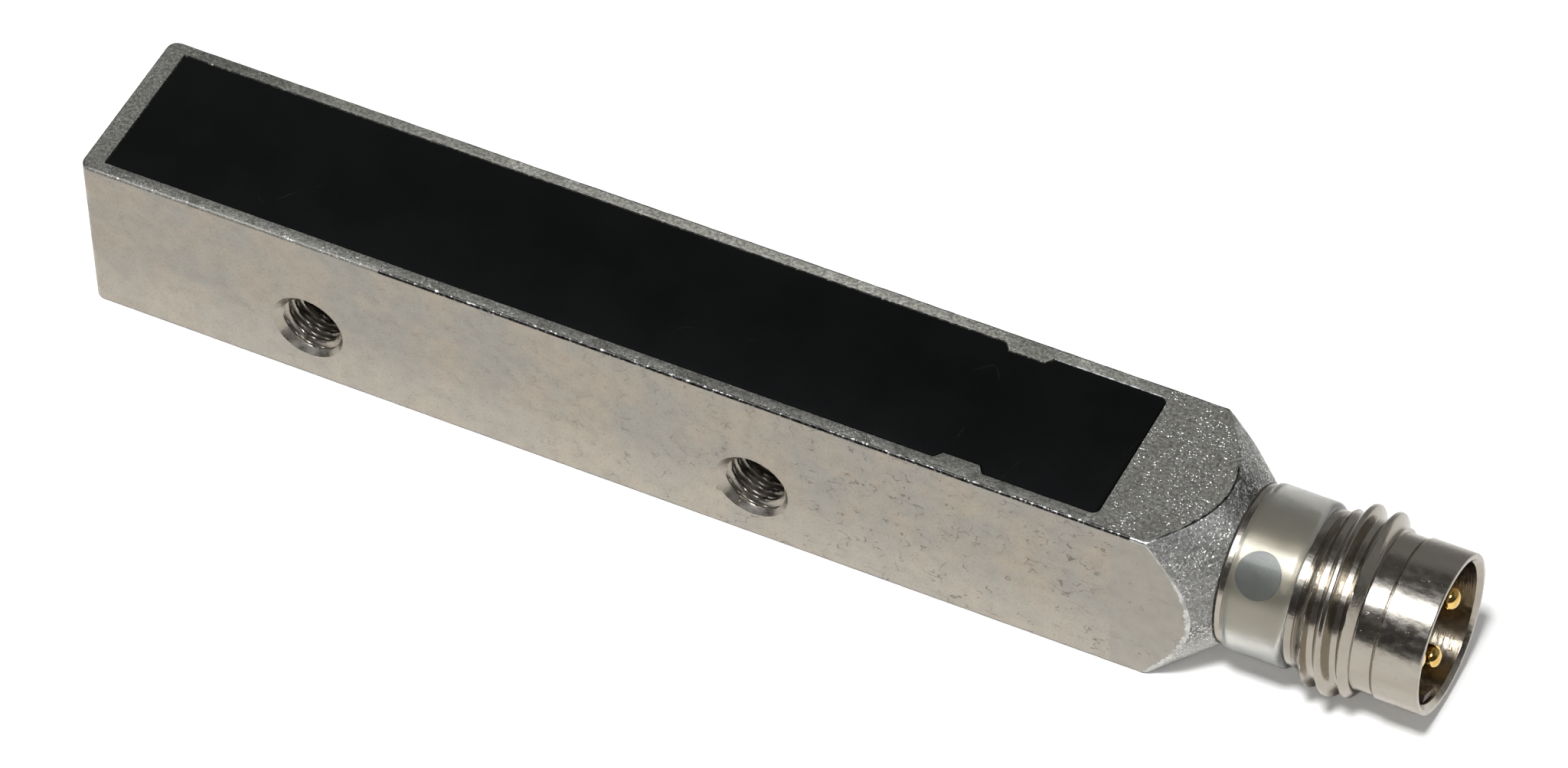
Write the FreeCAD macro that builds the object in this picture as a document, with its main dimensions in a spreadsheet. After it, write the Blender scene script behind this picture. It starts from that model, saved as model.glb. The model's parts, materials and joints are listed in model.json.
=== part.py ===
import FreeCAD, Part
import os
import re
import Sketcher
from FreeCAD import Placement, Rotation, Vector

# Inductive proximity sensor in a square bar with an M8 plug connector.
# Every piece shares one local frame: its X axis is the connector axis, counted from the
# sensing end of the bar. The Placement of each piece then puts the origin of the whole
# sensor under the middle of its length, on the flat bottom of the bar.

doc = FreeCAD.newDocument("ProximitySensor")

# Driving sizes in millimetres, angles in degrees
sizes = {
    # square bar and its nose
    "bodySide": 8.0,
    "housingLength": 51.1,
    "noseWall": 0.5,
    "noseAngle": 40.0,
    "tipEdgeRadius": 0.5,
    "longEdgeRadius": 0.12,
    # cover, flush in the top of the bar
    "coverThickness": 0.8,
    "tipWall": 0.95,
    "rimWall": 0.62,
    "coverSetback": 5.05,
    "coverCorner": 0.3,
    "coverGap": 0.02,
    "coverLedge": 0.5,
    "tabSetback": 7.2,
    "tabLength": 2.18,
    "tabReach": 0.37,
    "tabRamp": 0.27,
    # cavity under the cover
    "floorThickness": 1.2,
    "passageRadius": 2.4,
    # threaded cross holes
    "holeFromTip": 10.4,
    "holeSpacing": 20.5,
    "holeDrop": 1.1,
    "holeRadius": 1.25,
    "holeMouth": 0.4,
    "bossWall": 1.1,
    "bossCover": 0.75,
    # how far the cuts run past the metal
    "cutMargin": 1.0,
    # connector shell, from the nose of the bar to its mouth
    "spigotLength": 4.1,
    "spigotClearance": 0.02,
    "sealThickness": 0.15,
    "sealWidth": 0.3,
    "collarStep": 0.48,
    "collarLength": 0.2,
    "sleeveWall": 0.45,
    "boreStep": 0.55,
    "windowRadius": 0.95,
    "windowSetback": 1.1,
    "reliefStep": 0.11,
    "reliefLength": 0.75,
    "threadRadius": 3.98,
    "threadLength": 2.15,
    "threadChamfer": 0.35,
    "neckStep": 0.09,
    "neckLength": 0.9,
    "barrelRadius": 3.42,
    "barrelRamp": 0.2,
    "barrelLength": 2.05,
    "barrelEdge": 0.07,
    "barrelWall": 0.42,
    "socketFloorWall": 0.15,
    "mouthChamfer": 0.2,
    "mouthDepth": 0.2,
    # clear ring over the sleeve
    "ringLength": 2.7,
    "ringWall": 0.62,
    "ringEdgeShare": 0.45,
    "ringRearEdge": 0.1,
    # contacts and their carrier
    "carrierThickness": 1.1,
    "carrierBoss": 0.4,
    "carrierClearance": 0.02,
    "keyAngle": -120.0,
    "keyWidth": 1.2,
    "keyDepth": 0.32,
    "keyInset": 0.07,
    "keyRecess": 0.3,
    "pinWallGap": 1.25,
    "pinRadius": 0.5,
    "shoulderRadius": 0.7,
    "pinRecess": 0.4,
    "pinDome": 0.42,
    "tailRadius": 0.35,
    "tailLength": 2.9,
    # round board with the four lamps
    "lightBoardThickness": 0.5,
    "lightBoardClearance": 0.1,
    "tailHoleClearance": 0.05,
    "lampLength": 1.0,
    "lampWidth": 1.0,
    "lampHeight": 1.0,
    "lampInset": 0.15,
    # main board
    "boardCoilGap": 0.8,
    "boardEndGap": 1.15,
    "boardThickness": 0.6,
    "boardSideGap": 0.18,
    # coil under the sensing end of the cover
    "coilTipGap": 0.55,
    "coilSideGap": 0.13,
    "coreGap": 0.05,
    "coreLift": 0.05,
    "coreBase": 0.7,
    "coreWall": 0.45,
    "postRadius": 0.8,
    "leadSlot": 1.3,
    "shieldGap": 0.03,
    "shieldThickness": 0.12,
    "bobbinClearance": 0.05,
    "bobbinWall": 0.2,
    "flangeReach": 0.1,
    "windingReach": 0.1,
    "leadRadius": 0.1,
    "leadSpacing": 0.7,
    "leadStep": 0.55,
    # parts on the main board
    "chipLeadLength": 0.35,
    "chipLeadWidth": 0.3,
    "chipLeadHeight": 0.15,
    "oscillatorSide": 3.0,
    "oscillatorHeight": 0.9,
    "smallChipLength": 2.9,
    "smallChipWidth": 1.3,
    "smallChipHeight": 1.0,
    "diodeLength": 2.7,
    "diodeWidth": 1.6,
    "diodeHeight": 1.05,
    "storageLength": 3.2,
    "storageWidth": 1.6,
    "storageHeight": 1.5,
    "resistorPitch": 2.6,
    "resistorLength": 1.0,
    "resistorWidth": 0.5,
    "resistorHeight": 0.35,
    "resistorOffset": 1.9,
    "capacitorPitch": 1.5,
    "capacitorLength": 0.8,
    "capacitorWidth": 1.6,
    "capacitorHeight": 0.8,
    # insulated wires from the pins to the main board
    "wireRadius": 0.3,
    "wireSpacing": 1.0,
    "wireLanding": 1.2,
    "wireBend": 0.9,
}
resistorCount = 5
capacitorCount = 3

# how close two places are when they count as one
closeEnough = 1e-4

# Radii that follow the barrel of the connector, so its wall, bore and ring keep together
radii = {
    "socketRadius": "barrelRadius - barrelWall",
    "neckRadius": "barrelRadius - neckStep",
    "reliefRadius": "barrelRadius - reliefStep",
    "sleeveBore": "socketRadius - boreStep",
    "sleeveRadius": "sleeveBore + sleeveWall",
    "sealRadius": "sleeveRadius + sealWidth",
    "collarRadius": "sleeveRadius + collarStep",
    "ringRadius": "sleeveRadius + ringWall",
    "noseRadius": "sleeveRadius + noseWall",
    "pinCircle": "socketRadius - pinWallGap",
}

sheet = doc.addObject("Spreadsheet::Sheet", "Sizes")
cells = [(alias, str(size)) for alias, size in sizes.items()]
cells += [(alias, "=" + formula) for alias, formula in radii.items()]
for row, (alias, content) in enumerate(cells, start=1):
    sheet.set(f"A{row}", alias)
    sheet.set(f"B{row}", content)
    sheet.setAlias(f"B{row}", alias)
doc.recompute()


def tied(text):
    # the same expression with each size pointing at its cell
    return re.sub(r"[A-Za-z]\w+", lambda word: cellName(word.group()), text)


def cellName(word):
    return "Sizes." + word if word in sizes or word in radii else word


def number(text):
    return float(sheet.evalExpression(text))


# Places along the connector axis, each worked out from the sizes before it
half = "(bodySide / 2)"
sealStart = "housingLength"
collarStart = f"({sealStart} + sealThickness)"
ringStart = f"({collarStart} + collarLength)"
reliefStart = f"({ringStart} + ringLength)"
threadStart = f"({reliefStart} + reliefLength)"
neckStart = f"({threadStart} + threadLength)"
barrelStart = f"({neckStart} + neckLength)"
mouth = f"({barrelStart} + barrelLength)"
spigotStart = "(housingLength - spigotLength)"
socketFloor = f"({reliefStart} + socketFloorWall)"
carrierFront = f"({socketFloor} + carrierThickness)"
carrierRear = f"({socketFloor} - carrierBoss)"
pinTip = f"({mouth} - pinRecess)"
tailEnd = f"({carrierRear} - tailLength)"
windowCentre = f"({ringStart} + windowSetback)"
lampStart = f"({windowCentre} - lampInset - lampLength / 2)"
lightBoardStart = f"({lampStart} - lightBoardThickness)"

# Heights in the local frame, counted from the connector axis
coverUnder = f"({half} - coverThickness)"
floorTop = f"(floorThickness - {half})"
bossTop = "(holeRadius + bossCover - holeDrop)"
boardTop = f"({bossTop} + boardThickness)"
coreTop = f"({coverUnder} - coreGap)"
coreBottom = f"({bossTop} + coreLift)"
coreHeight = f"({coreTop} - {coreBottom})"

# Plan of the cover recess and of the cavity
coverEnd = "(housingLength - coverSetback)"
tabStart = f"({coverEnd} - tabSetback)"
recessHalf = f"({half} - rimWall)"
cavityHalf = f"({recessHalf} - coverLedge)"
cavityTip = "(tipWall + coverLedge)"
cavityEnd = f"({coverEnd} - coverLedge)"
bossHalf = "(holeRadius + bossWall)"
secondHole = "(holeFromTip + holeSpacing)"

# Coil and board between the two ends of the cavity
shieldOuter = f"({cavityHalf} - coilSideGap)"
shieldInner = f"({shieldOuter} - shieldThickness)"
coreRadius = f"({shieldInner} - shieldGap)"
coreCentre = f"({cavityTip} + coilTipGap + {shieldOuter})"
boardStart = f"({coreCentre} + {shieldOuter} + boardCoilGap)"
boardEnd = f"({cavityEnd} - boardEndGap)"


def place(piece, along="0", across="0", up="0", turn=None):
    # puts the local frame, or a point of it, where the sensor's own origin wants it
    if turn:
        piece.Placement = Placement(Vector(), turn)
    piece.setExpression("Placement.Base.x", tied(f"{along} - {mouth} / 2"))
    piece.setExpression("Placement.Base.y", tied(across))
    piece.setExpression("Placement.Base.z", tied(f"{up} + {half}"))


def newBody(name, **where):
    body = doc.addObject("PartDesign::Body", name)
    body.Label = name
    place(body, **where)
    return body


def originPart(body, role):
    return next(part for part in body.Origin.OriginFeatures if part.Role == role)


def newSketch(body, name, plane, lift=None, spin=None):
    # plane is XY, XZ or YZ; lift moves the sketch along its normal, spin turns it first
    sketch = body.newObject("Sketcher::SketchObject", name)
    sketch.AttachmentSupport = [(originPart(body, plane + "_Plane"), "")]
    sketch.MapMode = "FlatFace"
    if spin:
        sketch.AttachmentOffset = Placement(Vector(), spin)
    if lift:
        sketch.setExpression("AttachmentOffset.Base.z", tied(lift))
    return sketch


def fix(sketch, kind, edge, point, text):
    index = sketch.addConstraint(Sketcher.Constraint(kind, -1, 1, edge, point, number(text)))
    sketch.setExpression(f"Constraints[{index}]", tied(text))


def drawOutline(sketch, corners):
    # closed outline of straight lines through corners, each a pair of expressions
    points = [Vector(number(across), number(up), 0) for across, up in corners]
    first = sketch.GeometryCount
    count = len(points)
    for index, point in enumerate(points):
        sketch.addGeometry(Part.LineSegment(point, points[(index + 1) % count]), False)
    for index in range(count):
        after = first + (index + 1) % count
        sketch.addConstraint(Sketcher.Constraint("Coincident", first + index, 2, after, 1))
    for index, (across, up) in enumerate(corners):
        fix(sketch, "DistanceX", first + index, 1, across)
        fix(sketch, "DistanceY", first + index, 1, up)


def drawBox(sketch, left, right, low, high):
    drawOutline(sketch, [(left, low), (right, low), (right, high), (left, high)])


def drawCircle(sketch, across, up, radius):
    centre = Vector(number(across), number(up), 0)
    edge = sketch.addGeometry(Part.Circle(centre, Vector(0, 0, 1), number(radius)), False)
    fix(sketch, "DistanceX", edge, 3, across)
    fix(sketch, "DistanceY", edge, 3, up)
    index = sketch.addConstraint(Sketcher.Constraint("Radius", edge, number(radius)))
    sketch.setExpression(f"Constraints[{index}]", tied(radius))


def feature(body, kind, name, sketch, **settings):
    item = body.newObject("PartDesign::" + kind, name)
    item.Profile = sketch
    for setting, wanted in settings.items():
        setattr(item, setting, wanted)
    return item


def pad(body, name, sketch, length, **settings):
    item = feature(body, "Pad", name, sketch, **settings)
    item.setExpression("Length", tied(length))
    return item


def pocket(body, name, sketch, length, **settings):
    before = volumeAfter(body)
    item = feature(body, "Pocket", name, sketch, **settings)
    item.setExpression("Length", tied(length))
    mustCut(body, before, name)
    return item


def turned(body, kind, name, sketch, axis):
    before = volumeAfter(body) if kind == "Groove" else None
    item = feature(body, kind, name, sketch, ReferenceAxis=(originPart(body, axis), [""]), Angle=360.0)
    if kind == "Groove":
        mustCut(body, before, name)
    return item


def volumeAfter(body):
    doc.recompute()
    return body.Shape.Volume


def mustCut(body, before, name):
    doc.recompute()
    if body.Shape.Volume > before - 1e-6:
        raise RuntimeError(name + " removes nothing")


def edgesWhere(body, wanted):
    doc.recompute()
    shape = body.Tip.Shape
    return [f"Edge{index}" for index, edge in enumerate(shape.Edges, start=1) if wanted(edge)]


def dress(body, kind, name, edges, driven, text):
    base = body.Tip
    item = body.newObject("PartDesign::" + kind, name)
    item.Base = (base, edges)
    item.setExpression(driven, tied(text))
    doc.recompute()
    return item


def same(first, second):
    return abs(first - second) < closeEnough


def flatAlong(length):
    return length < closeEnough


def coverOutline(inset):
    # the rim reaches in by one tab on each side; inset draws the same outline smaller
    start = f"tipWall + {inset}"
    end = f"{coverEnd} - {inset}"
    side = f"({recessHalf} - {inset})"
    tabSide = f"({recessHalf} - tabReach - {inset})"
    stations = [
        (f"{tabStart} - {inset}", side),
        (f"{tabStart} + tabRamp - {inset}", tabSide),
        (f"{tabStart} + tabLength - tabRamp + {inset}", tabSide),
        (f"{tabStart} + tabLength + {inset}", side),
    ]
    farSide = [(start, side)] + stations + [(end, side)]
    nearSide = [(along, "-" + across) for along, across in reversed(farSide)]
    return farSide + nearSide


def roundCoverCorners(body, name, inset, radius):
    cornerX = number(f"{coverEnd} - {inset}")
    cornerY = number(f"{recessHalf} - {inset}")

    def atCorner(edge):
        span = edge.BoundBox
        upright = flatAlong(span.XLength) and flatAlong(span.YLength)
        return upright and same(span.XMin, cornerX) and same(abs(span.YMin), cornerY)

    dress(body, "Fillet", name, edgesWhere(body, atCorner), "Radius", radius)


def makeHousing():
    body = newBody("housing")
    block = newSketch(body, "blockSketch", "XY", lift=f"-{half}")
    drawBox(block, "0", "housingLength", f"-{half}", half)
    pad(body, "block", block, "bodySide")

    def tipUpright(edge):
        span = edge.BoundBox
        return same(span.XMax, 0) and same(span.ZLength, number("bodySide"))

    dress(body, "Fillet", "tipEdges", edgesWhere(body, tipUpright), "Radius", "tipEdgeRadius")

    def onTopOrBottom(edge):
        span = edge.BoundBox
        level = flatAlong(span.ZLength) and same(abs(span.ZMin), number(half))
        return level and not same(span.XMin, number("housingLength"))

    dress(body, "Fillet", "longEdges", edgesWhere(body, onTopOrBottom), "Radius", "longEdgeRadius")

    cone = newSketch(body, "noseSketch", "XZ")
    cutStart = "(housingLength - (bodySide - noseRadius) / tan(noseAngle))"
    cutEnd = "(housingLength + cutMargin)"
    drawOutline(cone, [("housingLength", "noseRadius"), (cutEnd, "noseRadius"),
                       (cutEnd, "bodySide"), (cutStart, "bodySide")])
    turned(body, "Groove", "nose", cone, "X_Axis")

    recess = newSketch(body, "recessSketch", "XY", lift=half)
    drawOutline(recess, coverOutline("0"))
    pocket(body, "coverRecess", recess, "coverThickness")
    roundCoverCorners(body, "recessCorners", "0", "coverCorner")

    channel = newSketch(body, "channelSketch", "XY", lift=half)
    drawBox(channel, cavityTip, cavityEnd, f"-{cavityHalf}", cavityHalf)
    pocket(body, "channel", channel, f"{half} - {bossTop}")

    deep = newSketch(body, "deepSketch", "XY", lift=half)
    stretches = [(cavityTip, f"holeFromTip - {bossHalf}"),
                 (f"holeFromTip + {bossHalf}", f"{secondHole} - {bossHalf}"),
                 (f"{secondHole} + {bossHalf}", cavityEnd)]
    for left, right in stretches:
        drawBox(deep, left, right, f"-{cavityHalf}", cavityHalf)
    pocket(body, "deepPockets", deep, "bodySide - floorThickness")

    bore = newSketch(body, "boreSketch", "XZ")
    boreStart = f"({cavityEnd} - cutMargin)"
    spigotHole = "(sleeveRadius + spigotClearance)"
    drawOutline(bore, [(boreStart, "0"), (cutEnd, "0"), (cutEnd, spigotHole), (spigotStart, spigotHole),
                       (spigotStart, "passageRadius"), (boreStart, "passageRadius")])
    turned(body, "Groove", "tailBore", bore, "X_Axis")

    hole = newSketch(body, "crossHoleSketch", "XZ")
    drawCircle(hole, "holeFromTip", "-holeDrop", "holeRadius")
    crossHole = pocket(body, "crossHole", hole, "bodySide", SideType="Symmetric", Type="ThroughAll")
    pair = body.newObject("PartDesign::LinearPattern", "crossHoles")
    pair.Originals = [crossHole]
    pair.Direction = (originPart(body, "X_Axis"), [""])
    pair.setExpression("Length", tied("holeSpacing"))
    pair.Occurrences = 2
    body.Tip = pair

    def atHoleMouth(edge):
        span = edge.BoundBox
        onSide = flatAlong(span.YLength) and same(abs(span.YMin), number(half))
        return onSide and edge.Closed and same(edge.Curve.Radius, number("holeRadius"))

    dress(body, "Chamfer", "holeMouths", edgesWhere(body, atHoleMouth), "Size", "holeMouth")
    return body


def makeCover():
    body = newBody("active_cover")
    plate = newSketch(body, "coverSketch", "XY", lift=coverUnder)
    drawOutline(plate, coverOutline("coverGap"))
    pad(body, "plate", plate, "coverThickness")
    roundCoverCorners(body, "coverCorners", "coverGap", "coverCorner - coverGap")
    return body


def makeShell():
    body = newBody("connector_shell")
    profile = newSketch(body, "shellSketch", "XZ")
    threadEdge = "(threadRadius - threadChamfer)"
    drawOutline(profile, [
        (spigotStart, "sleeveBore"), (spigotStart, "sleeveRadius"),
        (collarStart, "sleeveRadius"), (collarStart, "collarRadius"),
        (ringStart, "collarRadius"), (ringStart, "sleeveRadius"),
        (reliefStart, "sleeveRadius"), (reliefStart, "reliefRadius"),
        (threadStart, "reliefRadius"), (threadStart, threadEdge),
        (f"{threadStart} + threadChamfer", "threadRadius"),
        (f"{neckStart} - threadChamfer", "threadRadius"),
        (neckStart, threadEdge), (neckStart, "neckRadius"),
        (barrelStart, "neckRadius"), (f"{barrelStart} + barrelRamp", "barrelRadius"),
        (f"{mouth} - barrelEdge", "barrelRadius"), (mouth, "barrelRadius - barrelEdge"),
        (mouth, "socketRadius + mouthChamfer"), (f"{mouth} - mouthDepth", "socketRadius"),
        (socketFloor, "socketRadius"), (socketFloor, "sleeveBore"),
    ])
    turned(body, "Revolution", "shellTurning", profile, "X_Axis")
    window = newSketch(body, "windowSketch", "XY", spin=Rotation(Vector(1, 0, 0), 45))
    drawCircle(window, windowCentre, "0", "windowRadius")
    firstWindow = pocket(body, "window", window, "collarRadius", Reversed=True)
    ringOfFour(body, "windows", firstWindow)
    return body


def ringOfFour(body, name, original):
    pattern = body.newObject("PartDesign::PolarPattern", name)
    pattern.Originals = [original]
    pattern.Axis = (originPart(body, "X_Axis"), [""])
    pattern.Angle = 360.0
    pattern.Occurrences = 4
    body.Tip = pattern


def makeLightRing():
    body = newBody("light_ring")
    profile = newSketch(body, "ringSketch", "XZ")
    drawBox(profile, ringStart, reliefStart, "sleeveRadius", "ringRadius")
    turned(body, "Revolution", "ringBand", profile, "X_Axis")

    def outerEdgeAt(station):
        def wanted(edge):
            span = edge.BoundBox
            onStation = flatAlong(span.XLength) and same(span.XMin, number(station))
            return onStation and same(edge.Curve.Radius, number("ringRadius"))
        return wanted

    front = edgesWhere(body, outerEdgeAt(reliefStart))
    dress(body, "Fillet", "frontEdge", front, "Radius", "ringWall * ringEdgeShare")
    rear = edgesWhere(body, outerEdgeAt(ringStart))
    dress(body, "Fillet", "rearEdge", rear, "Radius", "ringRearEdge")

    # one stud of the clear plastic fills each window of the sleeve
    tilt = Rotation(Vector(1, 0, 0), 45)
    stud = newSketch(body, "studSketch", "XY", lift="sleeveBore * cos(45)", spin=tilt)
    stud.setExpression("AttachmentOffset.Base.y", tied("-sleeveBore * sin(45)"))
    drawCircle(stud, windowCentre, "0", "windowRadius - spigotClearance")
    firstStud = pad(body, "windowStud", stud, "sleeveWall + ringWall / 2")
    ringOfFour(body, "windowStuds", firstStud)
    return body


def makeSealRing():
    body = newBody("seal_ring")
    profile = newSketch(body, "sealSketch", "XZ")
    drawBox(profile, sealStart, collarStart, "sleeveRadius + spigotClearance", "sealRadius")
    turned(body, "Revolution", "seal", profile, "X_Axis")
    return body


# Contact positions seen from the mouth: far side, bottom and near side
pinAngles = {"contact_pin_1": 180, "contact_pin_3": 0, "contact_pin_4": -90}


def onPinCircle(angle):
    return f"(pinCircle * cos({angle}))", f"(pinCircle * sin({angle}))"


def makePin(name, angle):
    across, up = onPinCircle(angle)
    body = newBody(name, across=across, up=up)
    profile = newSketch(body, name + "Sketch", "XZ")
    drawOutline(profile, [
        (tailEnd, "0"), (tailEnd, "tailRadius"), (socketFloor, "tailRadius"),
        (socketFloor, "shoulderRadius"), (carrierFront, "shoulderRadius"),
        (carrierFront, "pinRadius"), (pinTip, "pinRadius"), (pinTip, "0"),
    ])
    turned(body, "Revolution", name + "Turning", profile, "X_Axis")

    def atTip(edge):
        span = edge.BoundBox
        return same(span.XMin, number(pinTip)) and edge.Closed

    dress(body, "Fillet", name + "Dome", edgesWhere(body, atTip), "Radius", "pinDome")
    return body


def makeCarrier():
    body = newBody("contact_carrier")
    profile = newSketch(body, "carrierSketch", "XZ")
    discEdge = "(socketRadius - carrierClearance)"
    bossEdge = "(sleeveBore - carrierClearance)"
    drawOutline(profile, [(carrierRear, "0"), (carrierRear, bossEdge), (socketFloor, bossEdge),
                          (socketFloor, discEdge), (carrierFront, discEdge), (carrierFront, "0")])
    turned(body, "Revolution", "carrierDisc", profile, "X_Axis")
    turn = Rotation(Vector(0, 0, 1), number("keyAngle"))
    key = newSketch(body, "keySketch", "YZ", lift=f"{carrierFront} - carrierThickness / 2", spin=turn)
    keyTop = f"({discEdge} - keyInset)"
    drawBox(key, f"{keyTop} - keyDepth", keyTop, "-keyWidth / 2", "keyWidth / 2")
    pad(body, "keyRib", key, f"{mouth} - keyRecess - {carrierFront} + carrierThickness / 2")
    for name, start, radius, depth in (("tailHoles", carrierRear, "tailRadius", "carrierBoss"),
                                       ("shoulderHoles", socketFloor, "shoulderRadius", "carrierThickness")):
        holes = newSketch(body, name + "Sketch", "YZ", lift=start)
        for angle in pinAngles.values():
            across, up = onPinCircle(angle)
            drawCircle(holes, across, up, radius)
        pocket(body, name, holes, depth, Reversed=True)
    return body


def makeLightBoard():
    body = newBody("light_board")
    disc = newSketch(body, "lightBoardSketch", "YZ", lift=lightBoardStart)
    drawCircle(disc, "0", "0", "sleeveBore - lightBoardClearance")
    for angle in pinAngles.values():
        across, up = onPinCircle(angle)
        drawCircle(disc, across, up, "tailRadius + tailHoleClearance")
    pad(body, "lightBoardDisc", disc, "lightBoardThickness")
    return body


def makeLamp(order):
    body = newBody(f"status_light_{order}", turn=Rotation(Vector(1, 0, 0), 90 * order - 45))
    outer = "sqrt((sleeveBore - lightBoardClearance)^2 - (lampWidth / 2)^2)"
    outline = newSketch(body, f"lampSketch{order}", "YZ", lift=lampStart)
    drawBox(outline, f"{outer} - lampHeight", outer, "-lampWidth / 2", "lampWidth / 2")
    pad(body, f"lamp{order}", outline, "lampLength")
    return body


def makeBoard():
    body = newBody("circuit_board")
    plan = newSketch(body, "boardSketch", "XY", lift=bossTop)
    boardHalf = f"({cavityHalf} - boardSideGap)"
    drawBox(plan, boardStart, boardEnd, "-" + boardHalf, boardHalf)
    pad(body, "board", plan, "boardThickness")
    return body


def turnedOnCore(name, outline):
    # a piece turned about the upright axis of the coil
    body = newBody(name, along=coreCentre, up=coreBottom)
    profile = newSketch(body, name + "Sketch", "XZ")
    drawOutline(profile, outline)
    turned(body, "Revolution", name + "Turning", profile, "Z_Axis")
    return body


def cutLeadSlot(body, name, outerRadius):
    slot = newSketch(body, name, "XY", lift=coreHeight)
    slotStart = f"{coreRadius} - 2 * coreWall"
    slotEnd = f"{outerRadius} + coreWall"
    drawBox(slot, slotStart, slotEnd, "-leadSlot / 2", "leadSlot / 2")
    pocket(body, name + "Cut", slot, f"{coreHeight} - coreBase")


def makeCoil():
    channel = f"({coreRadius} - coreWall)"
    core = turnedOnCore("ferrite_core", [
        ("0", "0"), (coreRadius, "0"), (coreRadius, coreHeight),
        (channel, coreHeight), (channel, "coreBase"),
        ("postRadius", "coreBase"), ("postRadius", coreHeight), ("0", coreHeight),
    ])
    cutLeadSlot(core, "coreSlot", coreRadius)

    shield = turnedOnCore("shield_ring", [
        (shieldInner, "0"), (shieldOuter, "0"),
        (shieldOuter, coreHeight), (shieldInner, coreHeight),
    ])
    cutLeadSlot(shield, "shieldSlot", shieldOuter)

    hubInner = "(postRadius + bobbinClearance)"
    hubOuter = f"({hubInner} + bobbinWall)"
    flange = f"({channel} - flangeReach)"
    low = "coreBase"
    high = f"({coreHeight} - bobbinClearance)"
    windingLow = f"({low} + bobbinWall)"
    windingHigh = f"({high} - bobbinWall)"
    bobbin = turnedOnCore("coil_bobbin", [
        (hubInner, low), (flange, low), (flange, windingLow), (hubOuter, windingLow),
        (hubOuter, windingHigh), (flange, windingHigh), (flange, high), (hubInner, high),
    ])

    windingOuter = f"({flange} - windingReach)"
    winding = turnedOnCore("coil_winding", [
        (hubOuter, windingLow), (windingOuter, windingLow),
        (windingOuter, windingHigh), (hubOuter, windingHigh),
    ])

    # the two ends of the winding leave through the slot and come down on the board
    middle = f"({coreBottom} + ({low} + {high}) / 2)"
    route = [(f"{coreCentre} + {windingOuter} + leadRadius / 2", middle),
             (f"{boardStart} - leadStep", middle),
             (f"{boardStart} + leadStep", f"{boardTop} + leadRadius"),
             (f"{boardStart} + 2 * leadStep", f"{boardTop} + leadRadius")]
    leads = []
    for name, across in (("coil_lead_start", "leadSpacing / 2"), ("coil_lead_end", "-leadSpacing / 2")):
        leads.append(makeWire(name, [(along, across, up) for along, up in route], "leadRadius"))
    return [core, shield, bobbin, winding] + leads


def makeWire(name, route, radius):
    # round wire of straight runs through route, given as expressions in the local frame
    points = [Vector(number(along), number(across), number(up)) for along, across, up in route]
    path = Part.makePolygon(points)
    start = Part.makeCircle(number(radius), points[0], points[1] - points[0])
    sweep = Part.BRepOffsetAPI.MakePipeShell(path)
    sweep.setTransitionMode(1)
    sweep.add(Part.Wire(start))
    sweep.build()
    sweep.makeSolid()
    wire = doc.addObject("Part::Feature", name)
    wire.Label = name
    wire.Shape = sweep.shape()
    place(wire)
    return wire


def addBox(name, along, across, up, length, width, height):
    box = doc.addObject("Part::Box", name)
    box.Label = name
    box.setExpression("Length", tied(length))
    box.setExpression("Width", tied(width))
    box.setExpression("Height", tied(height))
    place(box, along=along, across=across, up=up)
    return box


def makeChip(name, start, length, width, height, leadCount):
    # a moulded block on the middle of the board, with evenly spaced flat leads along both long sides
    block = addBox(name + "_block", start, f"-{width} / 2", boardTop, length, width, height)
    pieces = [block]
    edges = {"far": f"{width} / 2", "near": f"-{width} / 2 - chipLeadLength"}
    for order in range(leadCount):
        along = f"{start} + {length} * {order + 0.5} / {leadCount} - chipLeadWidth / 2"
        for side, edge in edges.items():
            lead = addBox(f"{name}_lead_{side}_{order}", along, edge, boardTop,
                          "chipLeadWidth", "chipLeadLength", "chipLeadHeight")
            pieces.append(lead)
    return join(name, pieces)


def join(name, pieces):
    group = doc.addObject("Part::MultiFuse", name)
    group.Label = name
    group.Shapes = pieces
    group.Refine = True
    return group


def makeDiode(name, start):
    # a block between two end leads
    block = addBox(name + "_block", start, "-diodeWidth / 2", boardTop,
                   "diodeLength", "diodeWidth", "diodeHeight")
    pieces = [block]
    for side, along in (("front", f"{start} + diodeLength"), ("back", f"{start} - chipLeadLength")):
        pieces.append(addBox(f"{name}_lead_{side}", along, "-diodeWidth / 4", boardTop,
                             "chipLeadLength", "diodeWidth / 2", "chipLeadHeight"))
    return join(name, pieces)


def makeRow(name, count, start, pitch, across, length, width, height):
    # a row of equal chips, each a solid of its own
    row = doc.addObject("Part::Compound", name)
    row.Label = name
    row.Links = [addBox(f"{name}_{order}", f"{start} + {order} * {pitch}", f"{across} - {width} / 2",
                        boardTop, length, width, height) for order in range(count)]
    return row


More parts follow.
